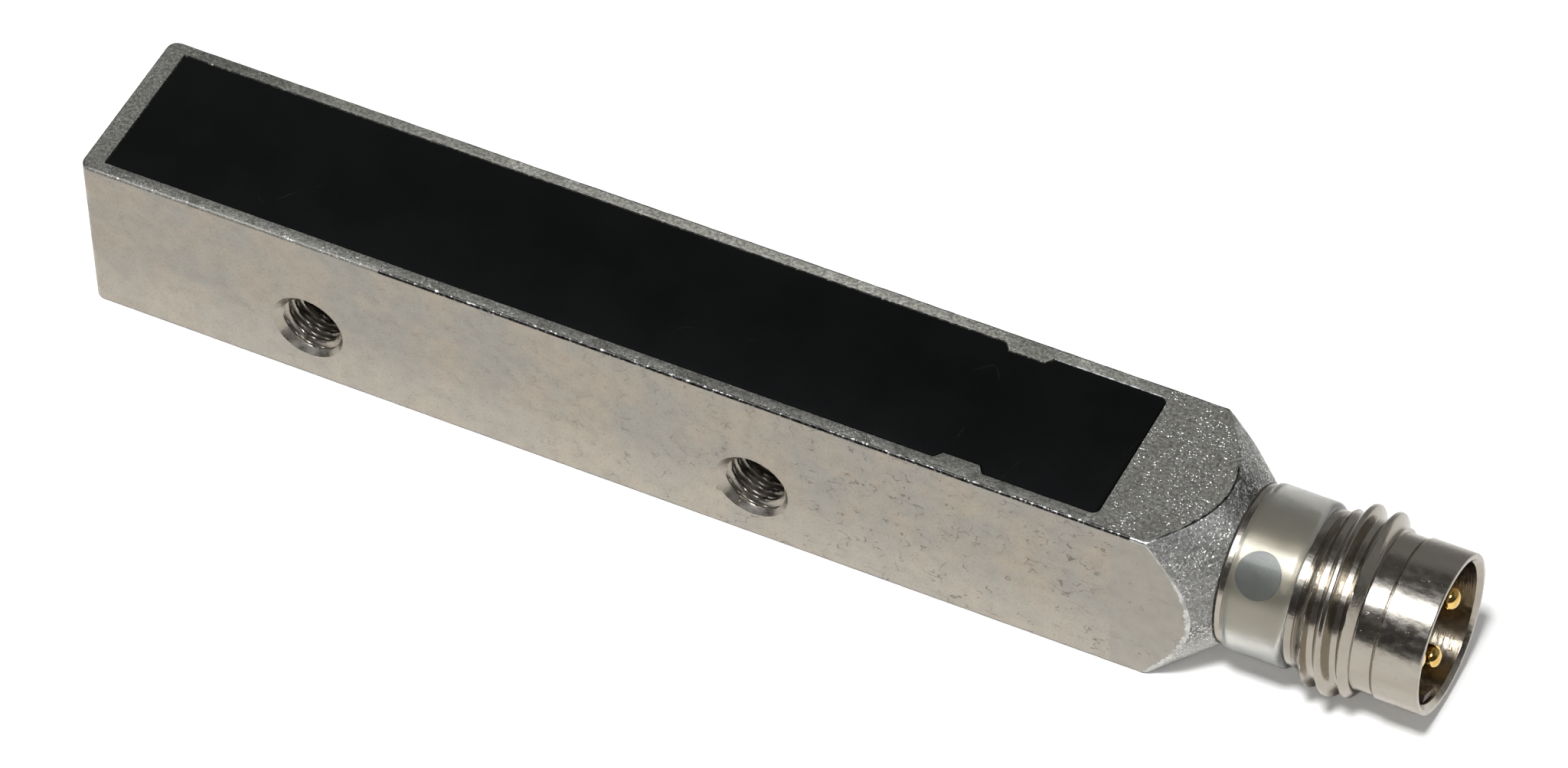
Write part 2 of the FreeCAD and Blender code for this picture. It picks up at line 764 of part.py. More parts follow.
def makeBoardParts():
    # six parts stand in line on the board, with equal gaps between the leads at its two ends
    diodeReach = "(diodeLength + 2 * chipLeadLength)"
    rowReach = f"({capacitorCount - 1} * capacitorPitch + capacitorLength)"
    lineStart = f"({boardStart} + 2 * leadStep)"
    lineLength = f"({boardEnd} - wireLanding - {lineStart})"
    line = ["oscillatorSide", "smallChipLength", diodeReach, rowReach, "smallChipLength", diodeReach]
    partGap = f"(({lineLength} - {' - '.join(line)}) / {len(line) + 1})"
    starts = [f"({lineStart} + {partGap})"]
    for reach in line[:-1]:
        starts.append(f"({starts[-1]} + {reach} + {partGap})")
    betweenHoles = "(holeFromTip + holeSpacing / 2)"
    return [
        makeChip("oscillator_chip", starts[0], "oscillatorSide", "oscillatorSide",
                 "oscillatorHeight", 4),
        makeChip("voltage_regulator", starts[1], "smallChipLength", "smallChipWidth",
                 "smallChipHeight", 3),
        makeDiode("surge_diode", f"({starts[2]} + chipLeadLength)"),
        makeRow("chip_capacitors", capacitorCount, starts[3], "capacitorPitch", "0",
                "capacitorLength", "capacitorWidth", "capacitorHeight"),
        makeChip("output_transistor", starts[4], "smallChipLength", "smallChipWidth",
                 "smallChipHeight", 3),
        makeDiode("polarity_diode", f"({starts[5]} + chipLeadLength)"),
        makeRow("chip_resistors", resistorCount, starts[1], "resistorPitch", "resistorOffset",
                "resistorLength", "resistorWidth", "resistorHeight"),
        addBox("storage_capacitor", f"{betweenHoles} - storageLength / 2", "-storageWidth / 2",
               f"{bossTop} - storageHeight", "storageLength", "storageWidth", "storageHeight"),
    ]


def makeConnectorWires():
    # from the tail of each pin, through the passage, down on the end of the main board
    landing = f"({boardTop} + wireRadius)"
    places = {"supply_wire": ("contact_pin_1", "-wireSpacing"),
              "signal_wire": ("contact_pin_4", "0"),
              "ground_wire": ("contact_pin_3", "wireSpacing")}
    wires = []
    for name, (pin, across) in places.items():
        pinAcross, pinUp = onPinCircle(pinAngles[pin])
        route = [(tailEnd, pinAcross, pinUp),
                 (f"{tailEnd} - wireBend", pinAcross, pinUp),
                 (f"{spigotStart} - wireRadius", across, f"{landing} / 2"),
                 (f"{boardEnd} + wireRadius", across, landing),
                 (f"{boardEnd} - wireLanding", across, landing)]
        wires.append(makeWire(name, route, "wireRadius"))
    return wires


def makeResin(housing, cover, inside):
    # the resin takes all the room that the pieces leave in the bar and in the sleeve
    trough = addBox("resin_trough", cavityTip, f"-{cavityHalf}", floorTop,
                    f"{cavityEnd} - {cavityTip}", f"2 * {cavityHalf}", f"{coverUnder} - {floorTop}")
    sleeve = doc.addObject("Part::Cylinder", "resin_sleeve")
    sleeve.setExpression("Radius", tied("sleeveBore"))
    sleeve.setExpression("Height", tied(f"{carrierRear} - {cavityEnd}"))
    place(sleeve, along=cavityEnd, turn=Rotation(Vector(0, 1, 0), 90))
    room = join("resin_room", [trough, sleeve])
    plugs = []
    for order, station in enumerate(("holeFromTip", secondHole)):
        plug = doc.addObject("Part::Cylinder", f"hole_plug_{order}")
        plug.setExpression("Radius", tied("holeRadius + bossWall / 2"))
        plug.setExpression("Height", tied("bodySide"))
        turn = Rotation(Vector(1, 0, 0), 90)
        place(plug, along=station, across=half, up="-holeDrop", turn=turn)
        plugs.append(plug)
    doc.recompute()
    taken = [piece.Shape for piece in [housing, cover] + plugs + inside]
    resin = doc.addObject("Part::Feature", "potting_resin")
    resin.Label = "potting_resin"
    resin.Shape = room.Shape.cut(taken)
    return resin


housing = makeHousing()
cover = makeCover()
shell = makeShell()
carrier = makeCarrier()
pins = [makePin(name, angle) for name, angle in pinAngles.items()]
lamps = [makeLamp(order) for order in range(1, 5)]
inside = [shell, carrier, makeLightBoard(), makeBoard()] + pins + lamps
inside += makeCoil() + makeBoardParts() + makeConnectorWires()
resin = makeResin(housing, cover, inside)
pieces = [housing, cover, makeLightRing(), makeSealRing(), resin] + inside
doc.recompute()

for item in doc.Objects:
    if "Invalid" in item.State or "Error" in item.State:
        raise RuntimeError(item.Name + " failed: " + str(item.State))
for piece in pieces:
    if piece.Shape.isNull() or not piece.Shape.isValid():
        raise RuntimeError(piece.Label + " has no valid shape")

os.makedirs("parts", exist_ok=True)
for piece in pieces:
    piece.Shape.exportStep(f"parts/{piece.Label}.step")
print(len(pieces), "pieces written")
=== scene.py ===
import json
import math

import bmesh
import bpy
from mathutils import Matrix, Vector, noise


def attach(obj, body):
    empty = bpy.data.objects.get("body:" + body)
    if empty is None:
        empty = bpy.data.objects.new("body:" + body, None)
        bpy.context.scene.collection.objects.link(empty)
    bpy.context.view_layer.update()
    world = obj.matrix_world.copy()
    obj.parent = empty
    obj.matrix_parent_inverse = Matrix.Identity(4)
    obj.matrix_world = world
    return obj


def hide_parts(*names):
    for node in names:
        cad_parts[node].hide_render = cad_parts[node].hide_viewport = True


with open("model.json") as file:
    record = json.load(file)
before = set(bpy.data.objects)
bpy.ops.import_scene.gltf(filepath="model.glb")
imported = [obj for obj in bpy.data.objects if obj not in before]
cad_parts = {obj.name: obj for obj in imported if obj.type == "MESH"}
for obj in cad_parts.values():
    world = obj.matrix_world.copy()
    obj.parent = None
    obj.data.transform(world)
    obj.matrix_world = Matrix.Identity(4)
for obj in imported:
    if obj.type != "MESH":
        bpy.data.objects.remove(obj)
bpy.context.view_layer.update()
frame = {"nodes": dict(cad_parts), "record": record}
cadNodes = frame["nodes"]

mm = 0.001
axisHeight = 4.0      # connector axis above the flat bottom, mm
tipX = -30.0          # sensing end of the bar, mm
closeBy = 1e-6        # metres; places nearer than this count as the same
scene = bpy.context.scene


# ---- shared steps for shader nodes and pieces

def feed(tree, node, inputs):
    # links or sets each input, by its name or number
    for socket, value in inputs.items():
        if isinstance(value, bpy.types.NodeSocket):
            tree.links.new(value, node.inputs[socket])
        else:
            node.inputs[socket].default_value = value


def addNode(tree, kind, inputs=None, **settings):
    node = tree.nodes.new("ShaderNode" + kind)
    for setting, value in settings.items():
        setattr(node, setting, value)
    feed(tree, node, inputs or {})
    return node


def ramp(tree, value, low, high, first=0.0, last=1.0, curve="SMOOTHSTEP"):
    return addNode(tree, "MapRange", {"Value": value, "From Min": low, "From Max": high,
                                      "To Min": first, "To Max": last},
                   interpolation_type=curve).outputs["Result"]


def mixed(tree, factor, first, second, blend="MIX"):
    first, second = (colour if isinstance(colour, bpy.types.NodeSocket) else (*colour, 1)
                     for colour in (first, second))
    return addNode(tree, "Mix", {"Factor": factor, 6: first, 7: second}, data_type="RGBA",
                   blend_type=blend).outputs[2]


def maths(tree, operation, first, second=0.0):
    return addNode(tree, "Math", {0: first, 1: second}, operation=operation).outputs[0]


def times(tree, first, second):
    return maths(tree, "MULTIPLY", first, second)


def newFinish(name):
    material = bpy.data.materials.new(name)
    material.use_nodes = True
    tree = material.node_tree
    where = addNode(tree, "TexCoord").outputs["Object"]
    return material, tree, tree.nodes["Principled BSDF"], where


def newPiece(bm, name):
    mesh = bpy.data.meshes.new(name)
    bm.to_mesh(mesh)
    bm.free()
    piece = bpy.data.objects.new(name, mesh)
    scene.collection.objects.link(piece)
    return piece


# ---- camera, light and table

cameraView = {
    "azimuth": 28.021,      # degrees round from the front
    "elevation": 48.115,
    "roll": -2.118,
    "distance": 359.228,    # mm from the aim point
    "aim": (-0.5, 0.0, 4.0),
    "slide": (-0.8192, -0.2965),
    "lens": 202.29,
    "sensor": 36,
    "clip": (0.01, 20),
}


def makeCamera():
    turn = (Matrix.Rotation(math.radians(cameraView["azimuth"]), 3, "Z")
            @ Matrix.Rotation(math.radians(90 - cameraView["elevation"]), 3, "X")
            @ Matrix.Rotation(math.radians(cameraView["roll"]), 3, "Z"))
    slideX, slideY = cameraView["slide"]
    away = Vector((-slideX, -slideY, cameraView["distance"]))
    place = Vector(cameraView["aim"]) + turn @ away
    data = bpy.data.cameras.new("camera")
    data.lens = cameraView["lens"]
    data.sensor_width = cameraView["sensor"]
    data.clip_start, data.clip_end = cameraView["clip"]
    camera = bpy.data.objects.new("camera", data)
    camera.matrix_world = Matrix.Translation(place * mm) @ turn.to_4x4()
    scene.collection.objects.link(camera)
    scene.camera = camera


studio = {
    # each lamp: the direction it stands in, its distance and size in metres, its power
    "lamps": {
        "keySoftbox": ((-0.31, -0.36, 0.88), 0.6, (0.8, 0.28), 2.7),    # the metal mirrors it
        "keyHalo": ((-0.31, -0.36, 0.88), 0.62, (1.0, 0.5), 0.9),       # softens its edges
        "plugLight": ((0.3, -0.4, 0.866), 0.6, (0.14, 0.14), 2.4),      # reaches into the socket
        "tableLight": ((0.05, -0.34, 0.94), 0.9, (0.17, 0.15), 8.8),
    },
    "softboxColour": (0.95, 0.99, 1.06),
    "front": (0.06, 0.06, 0.062),        # dim room in front of the table
    "back": (0.27, 0.28, 0.285),         # pale wall behind it
    "wallEdges": (-0.1, 0.35),           # where the one turns into the other, toward the back
    "above": (0.1, 0.1, 0.1),
    "ceilingEdges": (0.62, 0.8),
    "tableColour": (0.93, 0.93, 0.93),
    "tableGlow": (0.18, 0.178, 0.174),   # overexposed table, seen by the camera only
    "tableBehind": (0.34, 0.34, 0.34),   # darker far part in the reflections
    "tableFade": (0.006, 0.036),         # metres behind the sensor
    "tableRough": 0.9,
    "tableSize": 2.4,
}


def makeLamp(name, direction, distance, size, power):
    light = bpy.data.lights.new(name, "AREA")
    light.shape = "RECTANGLE"
    light.size, light.size_y = size
    light.energy = power
    outward = Vector(direction).normalized()
    across = outward.cross((1, 0, 0)).normalized()
    turn = Matrix((across.cross(outward), across, outward)).transposed()
    lamp = bpy.data.objects.new(name, light)
    lamp.matrix_world = Matrix.Translation(outward * distance) @ turn.to_4x4()
    scene.collection.objects.link(lamp)
    return lamp


def makeLamps():
    # one lamp lights the table alone, the others are only seen in reflections
    for name, settings in studio["lamps"].items():
        lamp = makeLamp(name, *settings)
        if name == "tableLight":
            lamp.visible_glossy = False
        else:
            lamp.visible_diffuse = False
            lamp.data.color = studio["softboxColour"]


def makeRoom():
    world = bpy.data.worlds.new("room")
    world.use_nodes = True
    tree = world.node_tree
    where = addNode(tree, "TexCoord").outputs["Generated"]
    place = addNode(tree, "SeparateXYZ", {"Vector": where}).outputs
    depth = ramp(tree, place["Y"], *studio["wallEdges"])
    height = ramp(tree, place["Z"], *studio["ceilingEdges"])
    walls = mixed(tree, depth, studio["front"], studio["back"])
    room = mixed(tree, height, walls, studio["above"])
    feed(tree, tree.nodes["Background"], {"Color": room})
    scene.world = world


def makeTable():
    bm = bmesh.new()
    bmesh.ops.create_grid(bm, x_segments=2, y_segments=2, size=studio["tableSize"] / 2)
    table = newPiece(bm, "table")
    material, tree, shader, where = newFinish("tableWhite")
    depth = addNode(tree, "SeparateXYZ", {"Vector": where}).outputs["Y"]
    rays = addNode(tree, "LightPath").outputs
    mirrored = times(tree, ramp(tree, depth, *studio["tableFade"]), rays["Is Glossy Ray"])
    feed(tree, shader, {
        "Base Color": mixed(tree, mirrored, studio["tableColour"], studio["tableBehind"]),
        "Emission Strength": rays["Is Camera Ray"],
        "Emission Color": (*studio["tableGlow"], 1),
        "Roughness": studio["tableRough"],
        "Specular IOR Level": 0.0,
    })
    table.data.materials.append(material)


scene.view_settings.view_transform = "Standard"
makeCamera()
makeLamps()
makeRoom()
makeTable()
print("camera, light and table are in place")


# ---- finishes

midRange = (0.3, 0.7)     # where most of a noise field lies


def noiseOf(tree, where, scale, detail=3.0, stretch=None, roughness=0.55):
    if stretch:
        where = addNode(tree, "Mapping", {"Vector": where, "Scale": stretch}).outputs["Vector"]
    return addNode(tree, "TexNoise", {"Vector": where, "Scale": scale, "Detail": detail,
                                      "Roughness": roughness}).outputs["Fac"]


def linesIn(tree, field, width):
    # 1 along the thin lines where a noise field crosses its middle value
    off = maths(tree, "ABSOLUTE", maths(tree, "SUBTRACT", field, 0.5))
    return ramp(tree, off, 0.0, width, 1.0, 0.0)


def hairsIn(tree, where, scale, width, stretch, share, fade=0.05, patchShare=1.7):
    # short curved hair lines, in the places where a second noise is high
    lines = linesIn(tree, noiseOf(tree, where, scale, 2.0, stretch), width)
    patches = noiseOf(tree, where, scale * patchShare, 1.0)
    return times(tree, lines, ramp(tree, patches, share, share + fade))


def withPaintedLight(tree, colour):
    # multiplies a colour by the light and shade painted into the piece's tone attribute
    tone = addNode(tree, "Attribute", attribute_name="tone").outputs["Fac"]
    return mixed(tree, 1.0, colour, tone, "MULTIPLY")


def addBump(tree, shader, height, look):
    bump = addNode(tree, "Bump", {"Height": height, "Strength": look["bumpStrength"],
                                  "Distance": look["bumpDepth"]})
    feed(tree, shader, {"Normal": bump.outputs["Normal"]})


def dress(tree, shader, look, colour, uneven, height, metal=0.0):
    # gloss between the look's two ends along one field, relief along another
    feed(tree, shader, {
        "Base Color": colour,
        "Roughness": ramp(tree, uneven, *midRange, look["smooth"], look["rough"]),
        "Metallic": metal,
        "Specular IOR Level": look.get("specular", 0.5),
    })
    addBump(tree, shader, height, look)


plainUsual = {
    "patchScale": 1600, "lightEdges": (0.35, 0.65), "grainScale": 9000,
    "smooth": 0.35, "rough": 0.5, "bumpStrength": 0.25, "bumpDepth": 0.00001, "metal": 0.0,
}


def makePlain(name, look):
    # two close tones in soft patches, uneven gloss and a fine grain
    look = {**plainUsual, **look}
    material, tree, shader, where = newFinish(name)
    patches = noiseOf(tree, where, look["patchScale"])
    share = ramp(tree, patches, *look["lightEdges"])
    grain = noiseOf(tree, where, look["grainScale"])
    colour = mixed(tree, share, look["dark"], look["light"])
    dress(tree, shader, look, colour, grain, grain, look["metal"])
    return material


satin = {
    "warm": (0.385, 0.34, 0.278), "cool": (0.338, 0.32, 0.282),
    "low": (0.47, 0.43, 0.37),    # painted light: the foot of the sides is paler, where it mirrors the table
    "fleck": (0.12, 0.105, 0.085),    # dark flecks and hairs
    "patchScale": 420, "patchEdges": (0.38, 0.62),
    "cloudScale": 1500, "cloudEdges": (0.3, 0.75), "cloudShare": 0.3,
    "cloudHeight": 2.0,
    "litFootEdges": (0.0038, 0.0016), "litFootShare": 0.4,    # metres above the table, where that painted light fades in
    "grainScale": 9500, "grainEdges": (0.28, 0.5), "grainShare": 0.3,
    "fleckScale": 2600, "fleckEdges": (0.35, 0.29), "fleckRough": 0.3,
    # each kind of hair: scale, width, stretch, and where in its noise it shows
    "hairs": ((520, 0.011, (1.0, 1.0, 2.2), 0.54), (900, 0.016, (1.0, 1.0, 1.0), 0.56)),
    "markShare": 0.65,
    "farMarks": 0.25,    # what is left of the marks at the far end
    "focusEdges": (-0.018, 0.008),    # metres along the bar, where they fade in
    "lineAt": 0.0169, "lineWidth": 0.00008, "lineShare": 0.7,    # the skin is cooler beyond it
    "smooth": 0.34, "rough": 0.52, "bumpStrength": 0.3, "bumpDepth": 0.00001,
}


def makeSatin():
    material, tree, shader, where = newFinish("satinNickel")
    place = addNode(tree, "SeparateXYZ", {"Vector": where}).outputs
    patches = noiseOf(tree, where, satin["patchScale"], 4.0)
    clouds = noiseOf(tree, where, satin["cloudScale"], 3.0)
    grain = noiseOf(tree, where, satin["grainScale"], 4.0)
    flecks = noiseOf(tree, where, satin["fleckScale"], 5.0, roughness=0.7)
    sharp = ramp(tree, place["X"], *satin["focusEdges"], satin["farMarks"], 1.0)
    spots = times(tree, ramp(tree, flecks, *satin["fleckEdges"]), sharp)
    hairs = maths(tree, "MAXIMUM", *(hairsIn(tree, where, *hair) for hair in satin["hairs"]))
    marks = times(tree, maths(tree, "MAXIMUM", spots, hairs), sharp)

    cloudy = ramp(tree, clouds, *satin["cloudEdges"], 0.0, satin["cloudShare"])
    # painted light: the sides turn paler towards the table
    low = ramp(tree, place["Z"], *satin["litFootEdges"], 0.0, satin["litFootShare"], "LINEAR")
    grainy = ramp(tree, grain, *satin["grainEdges"], satin["grainShare"], 0.0)
    beyond = ramp(tree, place["X"], satin["lineAt"] - satin["lineWidth"] / 2,
                  satin["lineAt"] + satin["lineWidth"] / 2, 0.0, satin["lineShare"])
    tone = mixed(tree, ramp(tree, patches, *satin["patchEdges"]), satin["warm"], satin["cool"])
    tone = mixed(tree, cloudy, tone, satin["cool"])
    tone = mixed(tree, low, tone, satin["low"])
    tone = mixed(tree, grainy, tone, satin["fleck"])
    tone = mixed(tree, times(tree, marks, satin["markShare"]), tone, satin["fleck"])
    tone = mixed(tree, beyond, tone, satin["cool"])
    gloss = ramp(tree, clouds, *midRange, satin["smooth"], satin["rough"])
    dull = times(tree, spots, satin["fleckRough"])
    feed(tree, shader, {"Base Color": withPaintedLight(tree, tone), "Metallic": 1.0,
                        "Roughness": maths(tree, "ADD", gloss, dull)})
    height = maths(tree, "ADD", grain, times(tree, clouds, satin["cloudHeight"]))
    addBump(tree, shader, maths(tree, "SUBTRACT", height, marks), satin)
    return material


grained = {
    "dark": (0.26, 0.248, 0.214), "light": (0.43, 0.413, 0.36), "deep": (0.16, 0.151, 0.13),
    "patchScale": 800, "patchEdges": (0.4, 0.7), "patchShare": 0.22,
    "grainScale": 6500, "grainEdges": (0.34, 0.62),
    "paintedGlint": (0.95, 0.93, 0.86),    # painted glints: a near-white colour on small facets, which also get their own bump and smoother gloss
    "sparkScale": 10500, "sparkEdges": (0.61, 0.655), "paintedGlintShare": 0.8, "sparkSmooth": 0.12,
    "clusterScale": 700, "clusterEdges": (0.4, 0.6), "clusterLift": 0.1,
    "noseFrom": 0.0158, "noseFade": 0.0004,   # metres along the bar
    "rimSparks": 0.35,    # share of them on the rims, before the nose
    "strokeScale": 3400, "strokeWidth": 0.035,
    "facetScale": 9000, "facetHeight": 3.0,
    "smooth": 0.38, "rough": 0.6, "bumpStrength": 1.0, "bumpDepth": 0.00003,
}


def makeGrained(name, paintedShadeShare, tint=(1, 1, 1), strokes=0.0):
    material, tree, shader, where = newFinish(name)
    dark, light, deep = ([level * share for level, share in zip(grained[colour], tint)]
                         for colour in ("dark", "light", "deep"))
    patches = noiseOf(tree, where, grained["patchScale"], 4.0)
    grain = noiseOf(tree, where, grained["grainScale"], 5.0, roughness=0.7)
    # paintedShadeShare raises the share of the deep colour, as painted shade
    deeper = ramp(tree, patches, *grained["patchEdges"], paintedShadeShare, paintedShadeShare + grained["patchShare"])
    tone = mixed(tree, ramp(tree, grain, *grained["grainEdges"]), dark, light)
    tone = mixed(tree, deeper, tone, deep)

    cluster = noiseOf(tree, where, grained["clusterScale"], 4.0, roughness=0.7)
    cluster = ramp(tree, cluster, *grained["clusterEdges"])
    dots = noiseOf(tree, where, grained["sparkScale"], 2.0, roughness=0.6)
    dots = maths(tree, "ADD", dots, times(tree, cluster, grained["clusterLift"]))
    along = addNode(tree, "SeparateXYZ", {"Vector": where}).outputs["X"]
    nose = grained["noseFrom"]
    onNose = ramp(tree, along, nose, nose + grained["noseFade"], grained["rimSparks"], 1.0)
    sparks = times(tree, ramp(tree, dots, *grained["sparkEdges"]), onNose)
    # thin strokes add more painted glints
    if strokes:
        lines = linesIn(tree, noiseOf(tree, where, grained["strokeScale"], 2.0),
                        grained["strokeWidth"])
        sparks = maths(tree, "MAXIMUM", sparks, times(tree, lines, strokes))
    # painted glints: the colour turns near-white where the sparks are
    glintMix = times(tree, sparks, grained["paintedGlintShare"])
    gloss = ramp(tree, grain, *midRange, grained["smooth"], grained["rough"])
    gloss = addNode(tree, "Mix", {"Factor": sparks, "A": gloss, "B": grained["sparkSmooth"]})
    feed(tree, shader, {"Base Color": mixed(tree, glintMix, withPaintedLight(tree, tone), grained["paintedGlint"]),
                        "Roughness": gloss.outputs[0], "Metallic": 1.0})
    facets = times(tree, noiseOf(tree, where, grained["facetScale"], 1.0), sparks)
    facets = times(tree, facets, grained["facetHeight"])
    addBump(tree, shader, maths(tree, "ADD", grain, facets), grained)
    return material


bright = {
    "dark": (0.39, 0.352, 0.295), "light": (0.43, 0.392, 0.335), "patchScale": 900,
    "patchEdges": (0.35, 0.65), "patchStretch": (0.35, 1.0, 1.0),
    "rippleScale": 3800, "rippleStretch": (0.6, 1.0, 1.0),
    "pit": (0.2, 0.18, 0.15), "pitScale": 4600, "pitEdges": (0.34, 0.28), "pitShare": 0.35,
    "pitDepth": 0.6,
    "ringScale": 90000, "ringStretch": (1.0, 0.01, 0.01),    # turning marks in the socket
    "bumpStrength": 0.5, "bumpDepth": 0.000016,
}


def makeBright(name, smooth, rough, paintedShade=(1, 1, 1), turned=0.0):
    material, tree, shader, where = newFinish(name)
    # paintedShade darkens or tints the metal where shade or a reflection is painted
    dark, light = ([level * share for level, share in zip(bright[colour], paintedShade)]
                   for colour in ("dark", "light"))
    patches = noiseOf(tree, where, bright["patchScale"], 4.0, bright["patchStretch"])
    pits = noiseOf(tree, where, bright["pitScale"], 4.0, roughness=0.75)
    pits = ramp(tree, pits, *bright["pitEdges"])
    ripple = noiseOf(tree, where, bright["rippleScale"], 4.0, bright["rippleStretch"])
    tone = mixed(tree, ramp(tree, patches, *bright["patchEdges"]), dark, light)
    tone = mixed(tree, times(tree, pits, bright["pitShare"]), tone, bright["pit"])
    height = maths(tree, "SUBTRACT", ripple, times(tree, pits, bright["pitDepth"]))
    if turned:
        rings = noiseOf(tree, where, bright["ringScale"], 1.0, bright["ringStretch"])
        height = maths(tree, "ADD", height, times(tree, rings, turned))
    look = {**bright, "smooth": smooth, "rough": rough}
    dress(tree, shader, look, tone, ripple, height, metal=1.0)
    return material


blackPlate = {
    "dark": (0.0008, 0.0009, 0.0009), "light": (0.0018, 0.002, 0.0019),
    "patchScale": 260, "patchEdges": (0.35, 0.65),
    "scratch": (0.03, 0.03, 0.029), "scratchShare": 0.5, "scratchWidth": 0.0016,
    "scratchScale": 320, "scratchStretch": (1.0, 0.4, 1.0),
    "scratchPatches": 420, "scratchEdges": (0.6, 0.68),
    "grainScale": 12000, "smooth": 0.4, "rough": 0.58, "specular": 0.1,
    "bumpStrength": 0.2, "bumpDepth": 0.000006,
}


def makeBlackPlate():
    look = blackPlate
    material, tree, shader, where = newFinish("blackCover")
    patches = noiseOf(tree, where, look["patchScale"], 4.0)
    tone = mixed(tree, ramp(tree, patches, *look["patchEdges"]), look["dark"], look["light"])
    lines = noiseOf(tree, where, look["scratchScale"], 1.0, look["scratchStretch"])
    shown = ramp(tree, noiseOf(tree, where, look["scratchPatches"], 2.0), *look["scratchEdges"])
    hairs = times(tree, linesIn(tree, lines, look["scratchWidth"]), shown)
    hairs = times(tree, hairs, look["scratchShare"])
    grain = noiseOf(tree, where, look["grainScale"])
    dress(tree, shader, look, mixed(tree, hairs, tone, look["scratch"]), grain, grain)
    return material


clear = {
    "colour": (0.82, 0.81, 0.75), "milk": 0.035, "ior": 1.47, "specular": 0.12,
    "hazeScale": 900, "smooth": 0.16, "rough": 0.24, "bumpStrength": 0.2, "bumpDepth": 0.00002,
}


def makeClear():
    material, tree, shader, where = newFinish("clearPlastic")
    haze = noiseOf(tree, where, clear["hazeScale"])
    dress(tree, shader, clear, (*clear["colour"], 1), haze, haze)
    feed(tree, shader, {"Transmission Weight": 1 - clear["milk"], "IOR": clear["ior"]})
    return material


winding = {
    "dark": (0.3, 0.075, 0.02), "light": (0.62, 0.24, 0.09), "wires": 11000.0, "wander": 0.4,
    "glossScale": 6000, "smooth": 0.2, "rough": 0.34, "bumpStrength": 0.6, "bumpDepth": 0.00003,
}


def makeWinding():
    # enamelled turns: fine rings about the upright axis of the coil
    material, tree, shader, where = newFinish("enamelledCopper")
    turns = addNode(tree, "TexWave", {"Vector": where, "Scale": winding["wires"],
                                      "Distortion": winding["wander"], "Detail": 1.0},
                    wave_type="BANDS", bands_direction="Z").outputs["Fac"]
    uneven = noiseOf(tree, where, winding["glossScale"])
    colour = mixed(tree, turns, winding["dark"], winding["light"])
    dress(tree, shader, winding, colour, uneven, turns, metal=1.0)
    return material


plainLooks = {
    # worn metal with a painted sheen: paler than the rest of the nickel, on lips and burrs
    "wearAndSheenNickel": {"dark": (0.38, 0.372, 0.35), "light": (0.62, 0.61, 0.58), "patchScale": 3200,
                   "smooth": 0.25, "rough": 0.45, "bumpStrength": 0.6, "bumpDepth": 0.00003,
                   "metal": 1.0},
    # burr beads on the edges: the pale patches keep their highlight, the dark ones are painted
    # shade
    "burrAndShadeNickel": {"dark": (0.05, 0.047, 0.043), "light": (0.36, 0.35, 0.32),
                   "patchScale": 6500, "lightEdges": (0.53, 0.66), "grainScale": 6000,
                   "smooth": 0.16, "rough": 0.32, "metal": 1.0, "bumpStrength": 0.8,
                   "bumpDepth": 0.00003},
    # painted shade: the dark line where the cone meets the top
    "paintedShadeEdge": {"dark": (0.02, 0.019, 0.017), "light": (0.09, 0.085, 0.078),
                 "patchScale": 3500, "smooth": 0.4, "rough": 0.6, "metal": 1.0},
    "darkInsulator": {"dark": (0.035, 0.014, 0.003), "light": (0.07, 0.031, 0.008),
                      "patchScale": 1200, "smooth": 0.26, "rough": 0.42},
    "smokedLens": {"dark": (0.045, 0.053, 0.055), "light": (0.085, 0.097, 0.098),
                   "patchScale": 1100, "smooth": 0.4, "rough": 0.55, "specular": 0.06},
    "goldPlate": {"dark": (0.72, 0.46, 0.13), "light": (0.86, 0.6, 0.22), "patchScale": 2500,
                  "smooth": 0.05, "rough": 0.12, "metal": 1.0},
    "blackRubber": {"dark": (0.01, 0.01, 0.01), "light": (0.022, 0.022, 0.021),
                    "patchScale": 1500, "smooth": 0.5, "rough": 0.7},
    "ferriteGrey": {"dark": (0.03, 0.03, 0.032), "light": (0.055, 0.055, 0.057),
                    "patchScale": 2600, "smooth": 0.5, "rough": 0.75, "bumpStrength": 0.5},
    "whiteNylon": {"dark": (0.68, 0.67, 0.62), "light": (0.8, 0.79, 0.74), "patchScale": 1400},
    "copperFoil": {"dark": (0.66, 0.3, 0.16), "light": (0.86, 0.45, 0.26), "patchScale": 1100,
                   "smooth": 0.2, "rough": 0.36, "metal": 1.0},
    "boardGreen": {"dark": (0.006, 0.06, 0.022), "light": (0.014, 0.11, 0.045),
                   "patchScale": 1700, "smooth": 0.3, "rough": 0.42},
    "blackMoulding": {"dark": (0.01, 0.01, 0.011), "light": (0.024, 0.024, 0.025),
                      "patchScale": 2100, "smooth": 0.45, "rough": 0.62, "bumpStrength": 0.4},
    "yellowMoulding": {"dark": (0.62, 0.4, 0.04), "light": (0.76, 0.53, 0.08),
                       "patchScale": 1500},
    "tanCeramic": {"dark": (0.34, 0.23, 0.13), "light": (0.47, 0.34, 0.21),
                   "patchScale": 3100, "smooth": 0.4, "rough": 0.6},
    "lampResin": {"dark": (0.05, 0.06, 0.066), "light": (0.11, 0.125, 0.13),
                  "patchScale": 900, "smooth": 0.15, "rough": 0.3},
    "brownSleeve": {"dark": (0.09, 0.035, 0.014), "light": (0.15, 0.062, 0.028)},
    "blueSleeve": {"dark": (0.01, 0.04, 0.26), "light": (0.02, 0.075, 0.4)},
    "blackSleeve": {"dark": (0.008, 0.008, 0.009), "light": (0.02, 0.02, 0.022)},
    "greyResin": {"dark": (0.1, 0.1, 0.1), "light": (0.17, 0.17, 0.165), "patchScale": 700,
                  "smooth": 0.3, "rough": 0.5, "bumpStrength": 0.35},
}
plain = {name: makePlain(name, look) for name, look in plainLooks.items()}
plain["enamelledCopper"] = makeWinding()
